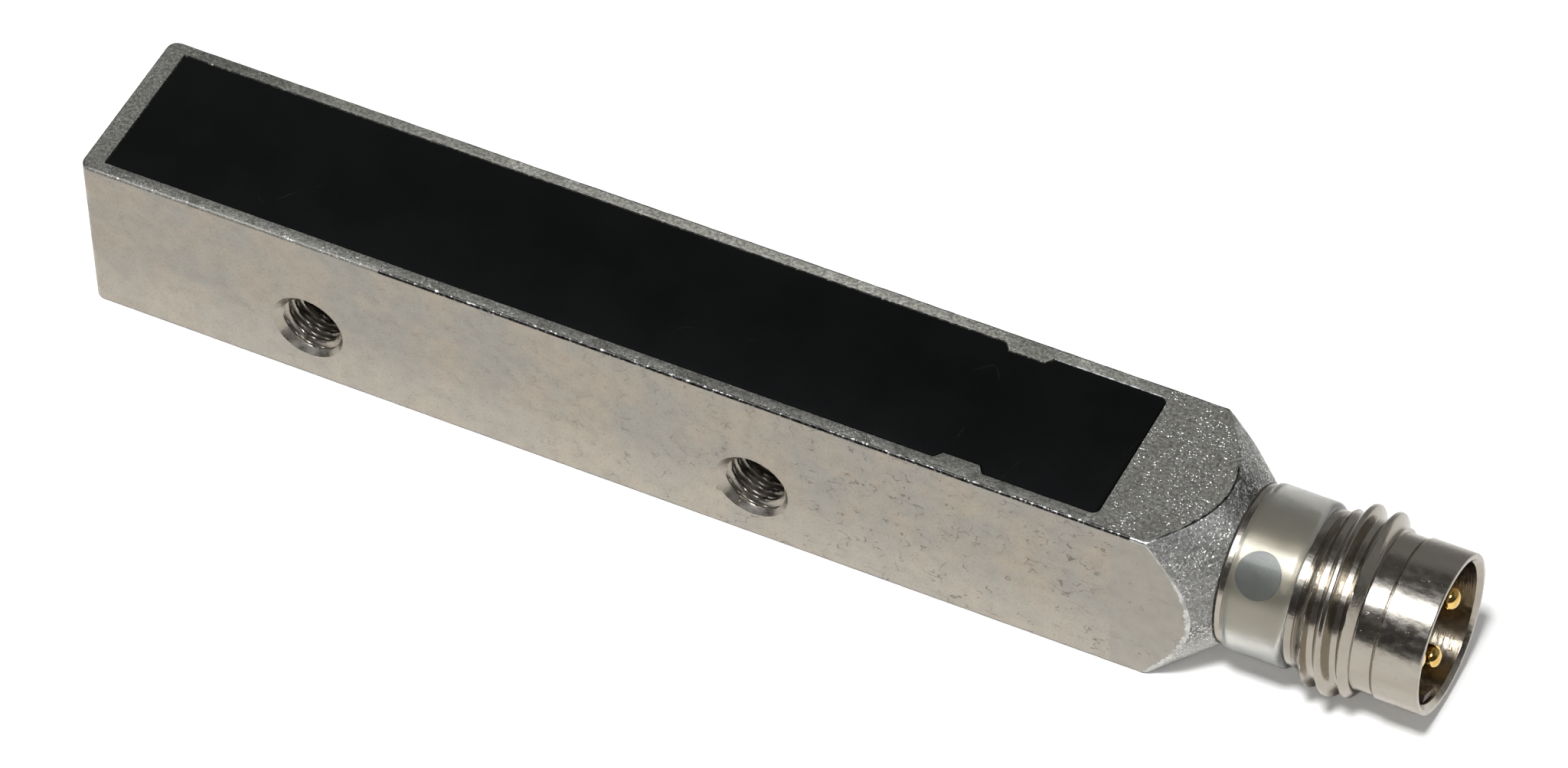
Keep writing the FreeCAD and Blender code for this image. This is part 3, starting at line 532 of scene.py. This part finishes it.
blackCover = makeBlackPlate()
clearPlastic = makeClear()
print("finishes are made")


# ---- shared steps for shapes

def copyOfNode(node, weld=2e-7, flatWithin=0.4):
    # the CAD mesh with its loose triangles joined and its flat faces whole again
    bm = bmesh.new()
    bm.from_mesh(cadNodes[node].data)
    bmesh.ops.remove_doubles(bm, verts=bm.verts, dist=weld)
    bmesh.ops.dissolve_limit(bm, angle_limit=math.radians(flatWithin), verts=bm.verts,
                             edges=bm.edges)
    return bm


def smoothShade(piece, angle=28):
    # smooth faces, with the edges sharp from an angle in degrees on
    bm = bmesh.new()
    bm.from_mesh(piece.data)
    for face in bm.faces:
        face.smooth = True
    for edge in bm.edges:
        edge.smooth = edge.calc_face_angle(0) < math.radians(angle)
    bm.to_mesh(piece.data)
    bm.free()


def combine(piece, tool, operation):
    # applies one boolean with tool and removes it
    step = piece.modifiers.new(operation.lower(), "BOOLEAN")
    step.operation = operation
    step.solver = "EXACT"
    step.object = tool
    shaped = piece.evaluated_get(bpy.context.evaluated_depsgraph_get())
    mesh = bpy.data.meshes.new_from_object(shaped)
    piece.modifiers.clear()
    piece.data = mesh
    bpy.data.objects.remove(tool)


def spunProfile(points, steps, closed=True, weld=1e-7):
    # turns a profile of (distance from the tip, radius) about the connector axis, in mm
    bm = bmesh.new()
    verts = [bm.verts.new(((tipX + along) * mm, radius * mm, 0)) for along, radius in points]
    for first, second in zip(verts, verts[1:] + (verts[:1] if closed else [])):
        bm.edges.new((first, second))
    bmesh.ops.spin(bm, geom=bm.verts[:] + bm.edges[:], cent=(0, 0, 0), axis=(1, 0, 0),
                   dvec=(0, 0, 0), angle=2 * math.pi, steps=steps, use_merge=True,
                   use_duplicate=False)
    bmesh.ops.remove_doubles(bm, verts=bm.verts, dist=weld)
    bmesh.ops.recalc_face_normals(bm, faces=bm.faces)
    return bm


def softCorners(corners, steps=4):
    # corners are (along, radius) or (along, radius, rounding), which makes the corner an arc
    soft = []
    count = len(corners)
    for index, corner in enumerate(corners):
        here = Vector(corner[:2])
        if len(corner) < 3:
            soft.append(tuple(here))
            continue
        before = (Vector(corners[index - 1][:2]) - here).normalized()
        after = (Vector(corners[(index + 1) % count][:2]) - here).normalized()
        bend = before.angle(after)
        reach = corner[2] / math.tan(bend / 2)
        centre = here + (before + after).normalized() * (corner[2] / math.sin(bend / 2))
        start = here + before * reach - centre
        end = here + after * reach - centre
        for step in range(steps + 1):
            soft.append(tuple(centre + start.slerp(end, step / steps) * corner[2]))
    return soft


def lift(bm, along=0.0, across=0.0, up=axisHeight):
    bmesh.ops.translate(bm, verts=bm.verts, vec=Vector((along, across, up)) * mm)


def cutAcross(bm, place, direction, snap=1e-8):
    bmesh.ops.bisect_plane(bm, geom=bm.verts[:] + bm.edges[:] + bm.faces[:], dist=snap,
                           plane_co=place, plane_no=direction)


def softenEdges(bm, edges, offset, segments=2, clamp=True):
    bmesh.ops.bevel(bm, geom=edges, offset=offset * mm, segments=segments, profile=0.5,
                    affect="EDGES", material=-1, clamp_overlap=clamp)


def finishFaces(piece, finishes, choose):
    # gives each face the finish that choose(face) names
    names = list(finishes)
    for face in piece.data.polygons:
        face.material_index = names.index(choose(face))
    for finish in finishes.values():
        piece.data.materials.append(finish)


def keep(piece, slot, *replaced):
    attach(piece, "root")
    if replaced:
        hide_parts(*replaced)
    print("made", piece.name, len(piece.data.polygons), "faces")


# ---- square bar with its threaded cross holes

bar = {
    "length": 51.1,
    "side": 8.0,
    "tipRound": 0.5,        # upright edges of the sensing end
    "tipSegments": 7,
    "longRound": 0.12,
    "longSegments": 4,
    "slices": 150,          # cuts across the length, so that the edges can be worn
    "firstSlice": 1.0,
    "edgeWear": 0.02,       # depth of the wear on the long edges
    "edgeWearFrom": 0.9,    # it takes the corner from this share of its rounding on
    "edgeWearTo": 50.9,
    "edgeUneven": (0.5, (0.5, 2.4), (0.35, 9.0)),
    "coverFrom": 0.95,      # the cover's pocket, mm from the tip
    "coverTo": 46.05,
    "tabTo": 41.0,
    "pocketEdge": 0.035,    # broken edge round the pocket
    "pocketTo": 46.2,
    "rimWidth": 1.0,
    "coneFoot": 3.4,
    "coneAngle": 40,
    "coneRows": 12,
    "sideLip": 0.16,        # reach of the worn edge between the cone and the flats
    "topLip": 0.075,
    "topFrom": 0.7,         # sine of the direction from which the top lip runs
    "cornerSine": 0.71,     # at the corners a share of the side lip is left, and it grows
    "cornerLip": 0.3,
    "lipGrowth": 1.4,
    "lipUneven": (1, (0.5, 1.7), (0.4, 5.0)),
    "lipRows": 10,
    "cornerTurns": (-0.87, -0.6, -0.3, 0.3, 0.6, 0.87),    # extra columns, degrees off a corner
    "wornFrom": -0.15,      # part of that reach that looks worn and gets painted sheen or shade, from the cone to the flat
    "wornTo": 0.9,
    "burrFrom": 14,         # the long top edges are bright from here on, in beads between patches of painted shade
    "cornerAt": 48.41,      # bright burr at the near corner of the nose: wear with a painted highlight
    "cornerBurr": 0.5,
    "lineFrom": 72,         # degrees; the painted shade line on top runs from here to the near corner
    "holes": (10.4, 30.9),  # mm from the tip
    "holeHeight": 2.9,
    "holeMouth": 0.4,
    "coreRadius": 1.25,
    "threadRadius": 1.49,
    "threadPitch": 0.5,
    "threadCrest": 0.06,    # half widths of its crest and foot, as shares of the pitch
    "threadFoot": 0.42,
    "threadSteps": 14,      # rings along one pitch
    "threadRound": 56,
    "cutPast": 0.3,         # how far the cutters run past the metal
    "skin": 0.03,           # depth in which a face counts as the bar's outside
    "slack": 0.05,          # how exactly a face is told to be part of a hole or the cone
    "faceDepth": 0.02,      # a face this near to a flat side belongs to it
    "bottomTo": 0.1,
    # how much of a face's direction is upward or sideways, to tell its kind
    "flat": 0.9999,
    "nearlyFlat": 0.9995,
    "sideways": 0.98,
    "endways": 0.9,
    "bevelled": (0.3, 0.95),
    # painted light and shade on the grained skin: along each rim in mm from the tip
    "nearLightShade": ((0, 0.55), (3, 0.62), (7, 0.82), (15, 0.78), (25, 0.7), (30, 0.58),
                  (35, 0.7), (44, 0.66), (46.05, 0.9)),
    "farLightShade": ((0, 0.7), (3, 0.85), (7, 1.25), (15, 1.72), (25, 2.05), (32, 2.15),
                 (36, 1.95), (40, 1.33), (43, 1.72), (46.05, 1.3)),
    "tipLightShade": 0.94,
    # and round the cone in degrees
    "coneLightShade": ((40, 0.85), (60, 0.95), (68, 0.8), (76, 0.25), (86, 0.5), (100, 0.72),
                  (110, 1.4), (120, 1.1), (128, 0.8), (140, 0.95), (150, 0.95), (165, 0.82),
                  (178, 0.85), (184, 0.55), (192, 0.72), (200, 0.98), (218, 1.5), (240, 1.0)),
}
coneSlope = math.tan(math.radians(bar["coneAngle"]))
barHalf = bar["side"] / 2
barFinishes = {
    "satin": makeSatin(),
    "grained": makeGrained("grainedNickel", 0.0),
    # painted shade: the cross holes are a little darker
    "hole": makeBright("holeNickel", 0.25, 0.36, paintedShade=(0.9, 0.9, 0.9)),
    "wornSheen": plain["wearAndSheenNickel"],
    # painted shade: the rounded long edges, other than the bright top ones, are darker
    "edge": makeGrained("shadedEdgeNickel", 0.55),
    "shadeLine": plain["paintedShadeEdge"],
    "burr": plain["burrAndShadeNickel"],
    "cone": makeGrained("coneNickel", 0.0, tint=(0.97, 1.0, 1.08), strokes=0.5),
}


def threadShare(distance, pitch, crest, foot):
    # 1 on the crest and 0 in the valley, for a distance along the axis from one crest
    turns = distance / pitch
    off = abs(turns - round(turns))
    share = min(1, max(0, (foot - off) / (foot - crest)))
    return share * share * (3 - 2 * share)


def unevenAt(place, level, *swings):
    # level with swings of (how much, how many in a mm) added to it
    for much, often in swings:
        level += much * noise.noise(place * often)
    return level


def inHole(x, z):
    # whether a place lies in a cross hole or its countersinks
    bore = min(math.hypot(x - hole, z - bar["holeHeight"]) for hole in bar["holes"])
    return bore < bar["coreRadius"] + bar["holeMouth"] + bar["slack"]


def threadCutter(station):
    # the hole's tapped wall, which runs out into the countersinks at both of its mouths
    wall = barHalf - bar["holeMouth"]
    beyond = barHalf + bar["cutPast"]
    core = bar["coreRadius"]
    rings = int(2 * beyond / bar["threadPitch"] * bar["threadSteps"])
    profile = [(-tipX - beyond, 0.0)]
    profile += [(-tipX - beyond + 2 * beyond * step / rings, core) for step in range(rings + 1)]
    profile += [(-tipX + beyond, 0.0)]
    bm = spunProfile(profile, bar["threadRound"], closed=False)
    deep = bar["threadRadius"] - core
    for vert in bm.verts:
        radius = math.hypot(vert.co.y, vert.co.z) / mm
        along = vert.co.x / mm
        if radius < core / 2:
            continue
        turned = along - math.atan2(vert.co.z, vert.co.y) / (2 * math.pi) * bar["threadPitch"]
        groove = deep * threadShare(turned, bar["threadPitch"], bar["threadCrest"],
                                    bar["threadFoot"])
        wanted = core + max(groove, abs(along) - wall)
        vert.co.y *= wanted / radius
        vert.co.z *= wanted / radius
    bmesh.ops.rotate(bm, verts=bm.verts, cent=(0, 0, 0),
                     matrix=Matrix.Rotation(math.pi / 2, 3, "Z"))
    lift(bm, tipX + station, 0, bar["holeHeight"])
    return newPiece(bm, "threadCutter")


def barBlock():
    bm = bmesh.new()
    bmesh.ops.create_cube(bm, size=1.0)
    bmesh.ops.scale(bm, verts=bm.verts,
                    vec=Vector((bar["length"], bar["side"], bar["side"])) * mm)
    lift(bm, tipX + bar["length"] / 2)
    tip, end = tipX * mm + closeBy, (tipX + bar["length"]) * mm - closeBy
    uprights = [edge for edge in bm.edges if all(vert.co.x < tip for vert in edge.verts)
                and abs(edge.verts[0].co.z - edge.verts[1].co.z) > mm]
    softenEdges(bm, uprights, bar["tipRound"], bar["tipSegments"], clamp=False)
    level = [edge for edge in bm.edges
             if abs(edge.verts[0].co.z - edge.verts[1].co.z) < closeBy
             and not all(vert.co.x > end for vert in edge.verts)]
    softenEdges(bm, level, bar["longRound"], bar["longSegments"], clamp=False)
    first = bar["firstSlice"]
    for step in range(1, bar["slices"]):
        along = first + (bar["length"] - first) * step / bar["slices"]
        cutAcross(bm, Vector(((tipX + along) * mm, 0, 0)), (1, 0, 0))
    inner = (barHalf - bar["longRound"] * bar["edgeWearFrom"]) * mm
    for vert in bm.verts:
        out = Vector((0, vert.co.y, vert.co.z - axisHeight * mm))
        if min(abs(out.y), abs(out.z)) > inner and vert.co.x < (tipX + bar["edgeWearTo"]) * mm:
            wear = unevenAt(vert.co / mm, *bar["edgeUneven"])
            vert.co -= out.normalized() * max(0, wear) * bar["edgeWear"] * mm
    return newPiece(bm, "barBody")


def onCone(face):
    middle = face.calc_center_median() / mm
    radius = math.hypot(middle.y, middle.z - axisHeight)
    wanted = bar["coneFoot"] + (tipX + bar["length"] - middle.x) * coneSlope
    slant = math.sin(math.radians(bar["coneAngle"]))
    return abs(face.normal.x - slant) < bar["slack"] and abs(radius - wanted) < 2 * bar["slack"]


def sectionRadius(turn):
    # from the axis to the outline of the bar's section, in mm
    low, high = sorted((abs(math.cos(turn)), abs(math.sin(turn))))
    flat = barHalf - bar["longRound"]
    if barHalf / high * low <= flat:
        return barHalf / high
    along = flat * (low + high)
    return along + math.sqrt(along ** 2 - 2 * flat ** 2 + bar["longRound"] ** 2)


def lipAt(turn):
    # reach of the worn edge in one direction from the axis
    place = Vector((math.cos(turn), math.sin(turn), 0)) * sectionRadius(turn)
    wear = unevenAt(place, *bar["lipUneven"])
    if math.sin(turn) > bar["topFrom"]:
        return wear * bar["topLip"]
    below = bar["cornerSine"] - math.sin(turn)
    return wear * bar["sideLip"] * min(1, bar["cornerLip"] + below * bar["lipGrowth"])


def noseTool():
    # the cone and its worn edge: a row of points for each direction, laid along that edge
    foot, end, rows = bar["coneFoot"], bar["length"], bar["lipRows"]
    turns = {math.radians(step) for step in range(360)}
    turns |= {math.radians(45 + 90 * corner + off) for corner in range(4)
              for off in bar["cornerTurns"]}
    bm = bmesh.new()
    columns = []
    for turn in sorted(turns):
        section, lip = sectionRadius(turn), lipAt(turn)
        points = [(-1.0, section + 2)]
        for depth in [1.0, 2 * lip] + [lip * (1 - 2 * step / rows) for step in range(rows + 1)]:
            radius = section + (depth - lip) / 2
            if depth < lip:
                radius = section + min(0, depth) - (lip - abs(depth)) ** 2 / (4 * lip)
            points.append((end - (section + depth - foot) / coneSlope, radius))
        start = points[-1][0]
        for row in range(1, bar["coneRows"] + 1):
            x = start + (end + bar["cutPast"] - start) * row / bar["coneRows"]
            points.append((x, foot + (end - x) * coneSlope))
        columns.append([bm.verts.new(((tipX + x) * mm, radius * math.cos(turn) * mm,
                                      radius * math.sin(turn) * mm)) for x, radius in points])
    for here, after in zip(columns, columns[1:] + columns[:1]):
        for row in range(len(here) - 1):
            bm.faces.new((here[row], here[row + 1], after[row + 1], after[row]))
    bm.faces.new([column[0] for column in columns])
    bm.faces.new([column[-1] for column in columns])
    bmesh.ops.recalc_face_normals(bm, faces=bm.faces)
    lift(bm)
    return newPiece(bm, "noseTool")


def onOutside(face):
    # whether a face of the CAD bar belongs to its outside or its cross holes
    middle = face.calc_center_median() / mm
    x, y, z = middle.x - tipX, abs(middle.y), abs(middle.z - axisHeight)
    skin = (max(y, z) > barHalf - bar["skin"] or x < bar["longRound"] + bar["slack"] / 5
            or x > bar["length"] - bar["faceDepth"] or onCone(face)
            or (min(y, z) > barHalf - bar["longRound"] and abs(face.normal.x) < bar["endways"])
            or (x < bar["tipRound"] and y > barHalf - bar["tipRound"]))
    return skin or inHole(x, middle.z)


def cavityTool():
    # the hollow of the CAD bar as a solid of its own, opened upward and to the connector
    bm = copyOfNode("housing")
    outside = [face for face in bm.faces if onOutside(face)]
    bmesh.ops.delete(bm, geom=outside, context="FACES")
    top, edge = bar["side"] * mm, bar["pocketEdge"] * mm
    cutAcross(bm, (0, 0, top - edge), (0, 0, 1))
    flare = {}
    for vert in bm.verts:
        if vert.co.z > top - 10 * closeBy:
            walls = sum((face.normal for face in vert.link_faces), Vector())
            flare[vert] = walls * -2 / walls.length_squared
            vert.co += flare[vert] * edge * len(vert.link_faces) / 2
    outer = {vert.co.to_tuple(8): flare[vert] for vert in flare}
    rims = [rim for rim in bm.edges if len(rim.link_faces) == 1]
    out = bmesh.ops.extrude_edge_only(bm, edges=rims)
    for vert in out["geom"]:
        if not isinstance(vert, bmesh.types.BMVert):
            continue
        if vert.co.to_tuple(8) in outer:
            vert.co += outer[vert.co.to_tuple(8)] * edge + Vector((0, 0, edge))
        else:
            vert.co.x += 1 * mm
    rims = [rim for rim in bm.edges if len(rim.link_faces) == 1]
    bmesh.ops.holes_fill(bm, edges=rims, sides=0)
    bmesh.ops.recalc_face_normals(bm, faces=bm.faces)
    return newPiece(bm, "cavityTool")


def barFinishAt(face):
    # which finish a face of the bar gets, from its place and its direction
    x, y, z = face.center.x / mm - tipX, face.center.y / mm, face.center.z / mm
    side, rise = abs(face.normal.y), face.normal.z
    turn = math.atan2(z - axisHeight, y)
    depth = bar["coneFoot"] + (bar["length"] - x) * coneSlope - sectionRadius(turn)
    wornSheen = (bar["wornFrom"] < depth / lipAt(turn) < bar["wornTo"]
            and side < bar["flat"] and rise < bar["flat"])
    burr = math.hypot(x - bar["cornerAt"], y + barHalf, z - bar["side"]) < bar["cornerBurr"]
    corner = min(abs(y), abs(z - axisHeight)) > barHalf - bar["longRound"]
    least, most = bar["bevelled"]
    pocket = z > bar["side"] - bar["pocketEdge"] and least < rise < most
    if inHole(x, z) and side < bar["sideways"]:
        return "hole"
    if burr and (wornSheen or corner):
        return "wornSheen"
    if corner:
        return "burr" if rise > 0 and x > bar["burrFrom"] else "edge"
    if wornSheen and math.sin(turn) < bar["topFrom"]:
        return "wornSheen"
    # painted shade line along the top of the cone
    if wornSheen and bar["lineFrom"] < math.degrees(turn):
        return "shadeLine"
    if pocket and x < bar["pocketTo"]:
        return "wornSheen" if y > 0 and x > bar["tabTo"] else "burr"
    if depth < 0 and rise < bar["nearlyFlat"] and face.normal.x < bar["endways"]:
        return "cone"
    onSide = abs(y) > barHalf - bar["faceDepth"]
    onTip = x < bar["tipRound"] and z < bar["side"] - bar["faceDepth"]
    if onSide or onTip or z < bar["bottomTo"]:
        return "satin"
    return "grained"


def toneFrom(table, value):
    for (start, low), (end, high) in zip(table, table[1:]):
        if value <= end:
            return low + (high - low) * max(0, (value - start) / (end - start))
    return table[-1][1]


def paintedLightAt(finish, middle, place):
    # painted light and shade on the skin at one corner of a face, both in mm
    rim = barHalf - bar["rimWidth"]
    onTop = finish == "grained" and middle.z > bar["side"] - bar["faceDepth"]
    if finish == "cone":
        turn = math.degrees(math.atan2(place.z - axisHeight, place.y)) % 360
        return toneFrom(bar["coneLightShade"], turn)
    if onTop and middle.x < tipX + bar["coverTo"] and abs(middle.y) > rim:
        return toneFrom(bar["nearLightShade" if middle.y < 0 else "farLightShade"], place.x - tipX)
    if onTop and middle.x < tipX + bar["coverFrom"]:
        return bar["tipLightShade"]
    return 1.0


def paintLightAndShade(piece):
    # stores the skin's painted light and shade at the corners of the faces
    mesh = piece.data
    lightShade = mesh.attributes.new("tone", "FLOAT", "CORNER")
    names = list(barFinishes)
    for face in mesh.polygons:
        for corner in face.loop_indices:
            place = mesh.vertices[mesh.loops[corner].vertex_index].co / mm
            lightShade.data[corner].value = paintedLightAt(names[face.material_index], face.center / mm,
                                              place)


def makeBar():
    piece = barBlock()
    combine(piece, noseTool(), "INTERSECT")
    combine(piece, cavityTool(), "DIFFERENCE")
    for station in bar["holes"]:
        combine(piece, threadCutter(station), "DIFFERENCE")
    finishFaces(piece, barFinishes, barFinishAt)
    paintLightAndShade(piece)
    smoothShade(piece, angle=25)
    piece.modifiers.new("flatFaces", "WEIGHTED_NORMAL").keep_sharp = True
    keep(piece, "nickel_plate", "housing")


makeBar()


# ---- flush cover

coverPlate = {
    "softEdge": 0.03,
}


def makeCover():
    bm = copyOfNode("active_cover")
    rim = [edge for edge in bm.edges
           if all(abs(vert.co.z - bar["side"] * mm) < closeBy for vert in edge.verts)]
    softenEdges(bm, rim, coverPlate["softEdge"])
    piece = newPiece(bm, "coverPlate")
    piece.data.materials.append(blackCover)
    smoothShade(piece)
    keep(piece, "black_cover", "active_cover")


makeCover()


# ---- turned connector shell with its thread

shell = {
    "steps": 168,
    # corners of the turned profile: mm from the tip, radius, rounding
    "frontCorners": (
        (47.0, 2.45), (47.0, 2.9), (51.25, 2.9),    # sleeve in the bar
        (51.25, 3.23), (51.17, 3.23), (51.17, 3.38, 0.05), (51.45, 3.38, 0.05),    # collar
        (51.45, 2.9), (54.15, 2.9),    # sleeve in the clear ring
        (54.15, 3.31, 0.03), (54.47, 3.31, 0.02), (54.54, 3.22, 0.02), (54.6, 3.3),    # relief
    ),
    "rearCorners": (
        (57.07, 3.33, 0.03), (57.9, 3.33, 0.02), (57.97, 3.2, 0.02),    # neck and seam
        (58.04, 3.42, 0.04), (60.0, 3.42, 0.07),    # barrel
        (60.0, 3.2, 0.03), (59.8, 3.0, 0.03), (54.3, 3.0), (54.3, 2.45),    # socket
    ),
    "threadStart": 54.62,
    "threadEnd": 57.05,
    "threadRings": 96,
    "ringSlack": 0.001,         # how exactly the rings are told from their neighbours
    "pitch": 1.0,
    "crestAt": 55.39,           # first crest on the side of angle zero
    "foot": 3.32,               # radius at the start of the lead-in
    "valley": 3.47,
    "crest": 3.97,
    "threadCrest": 0.05,        # half widths of its crest and foot, as shares of the pitch
    "threadFoot": 0.4,
    "leadIn": 1.05,             # rise of the radius for each mm along
    "runOut": 0.4,
    "windows": (45, 135, 225, 315),    # degrees round the axis
    "windowAt": 52.55,
    "windowRadius": 0.95,
    "windowDepth": 1.4,
    "windowOut": 2.7,           # middle of the cutter from the axis
    "windowRound": 48,
    "socketFrom": 54.4,         # where each finish starts and ends
    "socketTo": 59.85,
    "sleeveRadius": 2.9,
    "insideRadius": 3.15,
    "reliefFrom": 54.1,
    "neckTo": 57.9,
}
shellFinishes = {
    "bright": makeBright("brightNickel", 0.15, 0.28),
    "inner": makeBright("innerNickel", 0.3, 0.42),
    "thread": makeBright("threadNickel", 0.15, 0.23),
    # painted shade: the relief is darker; the socket is darker and brown, a painted reflection of
    # the carrier
    "relief": makeBright("reliefNickel", 0.16, 0.23, paintedShade=(0.9, 0.9, 0.9)),
    "socket": makeBright("socketNickel", 0.14, 0.24, paintedShade=(0.84, 0.79, 0.7), turned=0.6),
}


def shellProfile():
    start, end, rings = shell["threadStart"], shell["threadEnd"], shell["threadRings"]
    front = softCorners([*shell["frontCorners"], (start, shell["foot"])])
    rear = softCorners([(end, shell["valley"]), *shell["rearCorners"]])
    return front + [(start + (end - start) * step / rings, shell["valley"])
                    for step in range(1, rings)] + rear


def raiseThread(bm):
    # pushes the rings of the threaded part out into turns, with a lead-in and a run-out
    start, end = (shell[key] + shell["ringSlack"] for key in ("threadStart", "threadEnd"))
    inside = shell["valley"] - 10 * shell["ringSlack"]
    for vert in bm.verts:
        x = vert.co.x / mm - tipX
        radius = math.hypot(vert.co.y, vert.co.z) / mm
        if not start < x < end or radius < inside:
            continue
        turn = math.atan2(vert.co.z, vert.co.y) / (2 * math.pi)
        share = threadShare(x - shell["crestAt"] - turn, shell["pitch"], shell["threadCrest"],
                            shell["threadFoot"])
        runOut = max(0, (shell["threadEnd"] - x) / shell["runOut"])
        turned = shell["valley"] + (shell["crest"] - shell["valley"]) * min(share, runOut)
        cone = shell["foot"] + (x - shell["threadStart"]) * shell["leadIn"]
        wanted = min(turned, cone)
        vert.co.y *= wanted / radius
        vert.co.z *= wanted / radius


def windowPlug(name, angle, radius, depth, out, up):
    # a round plug in the line of one window, its middle at a distance from the axis
    bm = bmesh.new()
    bmesh.ops.create_cone(bm, cap_ends=True, segments=shell["windowRound"],
                          radius1=radius * mm, radius2=radius * mm, depth=depth * mm)
    bmesh.ops.translate(bm, verts=bm.verts, vec=(0, 0, out * mm))
    bmesh.ops.rotate(bm, verts=bm.verts, cent=(0, 0, 0),
                     matrix=Matrix.Rotation(math.radians(angle - 90), 3, "X"))
    lift(bm, tipX + shell["windowAt"], 0, up)
    return newPiece(bm, name)


def shellFinishAt(face):
    x = face.center.x / mm - tipX
    radius = math.hypot(face.center.y, face.center.z - axisHeight * mm) / mm
    if radius < shell["insideRadius"] and x < shell["socketTo"]:
        return "socket" if x > shell["socketFrom"] and radius > shell["sleeveRadius"] else "inner"
    if shell["reliefFrom"] < x < shell["neckTo"]:
        return "relief" if x < shell["threadStart"] else "thread"
    return "bright"


def makeShell():
    bm = spunProfile(shellProfile(), shell["steps"])
    raiseThread(bm)
    lift(bm)
    piece = newPiece(bm, "connectorShell")
    for angle in shell["windows"]:
        cutter = windowPlug("windowCutter", angle, shell["windowRadius"],
                            shell["windowDepth"], shell["windowOut"], axisHeight)
        combine(piece, cutter, "DIFFERENCE")
    piece.data.materials.clear()
    finishFaces(piece, shellFinishes, shellFinishAt)
    smoothShade(piece, angle=34)
    keep(piece, "bright_plate", "connector_shell")


makeShell()


# ---- clear ring over the sleeve, with a smoked lens in each window

clearRing = {
    "steps": 168,
    "corners": ((51.46, 2.92), (51.46, 3.52, 0.1), (54.14, 3.52, 0.28), (54.14, 2.92)),
    "cornerSteps": 6,
    "lensRadius": 0.93,
    "lensDepth": 1.0,
    "lensOut": 2.96,
    "lensTop": 2.915,           # radius at which the lenses are cut off round
    "lensSpan": (50, 55),
}


def makeRing():
    bm = spunProfile(softCorners(clearRing["corners"], clearRing["cornerSteps"]),
                     clearRing["steps"])
    start, end = clearRing["lensSpan"]
    top = clearRing["lensTop"]
    for angle in shell["windows"]:
        lens = windowPlug("windowStud", angle, clearRing["lensRadius"],
                          clearRing["lensDepth"], clearRing["lensOut"], 0)
        inside = spunProfile([(start, 0), (start, top), (end, top), (end, 0)],
                             clearRing["steps"], closed=False)
        combine(lens, newPiece(inside, "sleeveBore"), "INTERSECT")
        for face in lens.data.polygons:
            face.material_index = 1
        bm.from_mesh(lens.data)
        bpy.data.objects.remove(lens)
    lift(bm)
    piece = newPiece(bm, "lightRing")
    piece.data.materials.append(clearPlastic)
    piece.data.materials.append(plain["smokedLens"])
    smoothShade(piece, angle=34)
    keep(piece, "clear_plastic", "light_ring")


makeRing()


# ---- contacts and their carrier

contacts = {
    # mm across and above the connector axis
    "places": {"contact_pin_1": (-1.75, 0.0), "contact_pin_3": (1.75, 0.0),
               "contact_pin_4": (0.0, -1.75)},
    "corners": ((51.0, 0.0), (51.0, 0.35), (54.3, 0.35), (54.3, 0.7), (55.4, 0.7),
                (55.4, 0.5), (59.6, 0.5, 0.42), (59.6, 0.0)),
    "cornerSteps": 10,
    "steps": 48,
}
carrier = {
    "sharpFrom": 40,            # degrees; edges at least this sharp are softened
    "softEdge": 0.03,
}


def makeContacts():
    profile = softCorners(contacts["corners"], contacts["cornerSteps"])
    for node, (across, up) in contacts["places"].items():
        bm = spunProfile(profile, contacts["steps"], closed=False)
        lift(bm, 0, across, axisHeight + up)
        piece = newPiece(bm, node.replace("contact_pin_", "goldContact"))
        piece.data.materials.append(plain["goldPlate"])
        smoothShade(piece)
        keep(piece, "gold_plate", node)


def makeCarrier():
    bm = copyOfNode("contact_carrier")
    crisp = [edge for edge in bm.edges if len(edge.link_faces) == 2
             and edge.calc_face_angle() > math.radians(carrier["sharpFrom"])]
    softenEdges(bm, crisp, carrier["softEdge"])
    piece = newPiece(bm, "contactCarrier")
    piece.data.materials.append(plain["darkInsulator"])
    smoothShade(piece)
    keep(piece, "dark_insulator", "contact_carrier")


makeContacts()
makeCarrier()


# ---- finishes for the pieces that keep their CAD shape

slotFinish = {
    "black_rubber": "blackRubber", "ferrite": "ferriteGrey", "white_plastic": "whiteNylon",
    "enamelled_copper": "enamelledCopper", "copper_foil": "copperFoil",
    "board_laminate": "boardGreen", "black_moulding": "blackMoulding",
    "yellow_moulding": "yellowMoulding", "tan_ceramic": "tanCeramic",
    "lamp_resin": "lampResin", "brown_insulation": "brownSleeve",
    "blue_insulation": "blueSleeve", "black_insulation": "blackSleeve",
    "grey_resin": "greyResin",
}
for row in frame["record"]["subparts"]:
    if row["material_slot"] in slotFinish:
        mesh = cadNodes[row["node"]].data
        mesh.materials.clear()
        mesh.materials.append(plain[slotFinish[row["material_slot"]]])

print("all pieces are made")
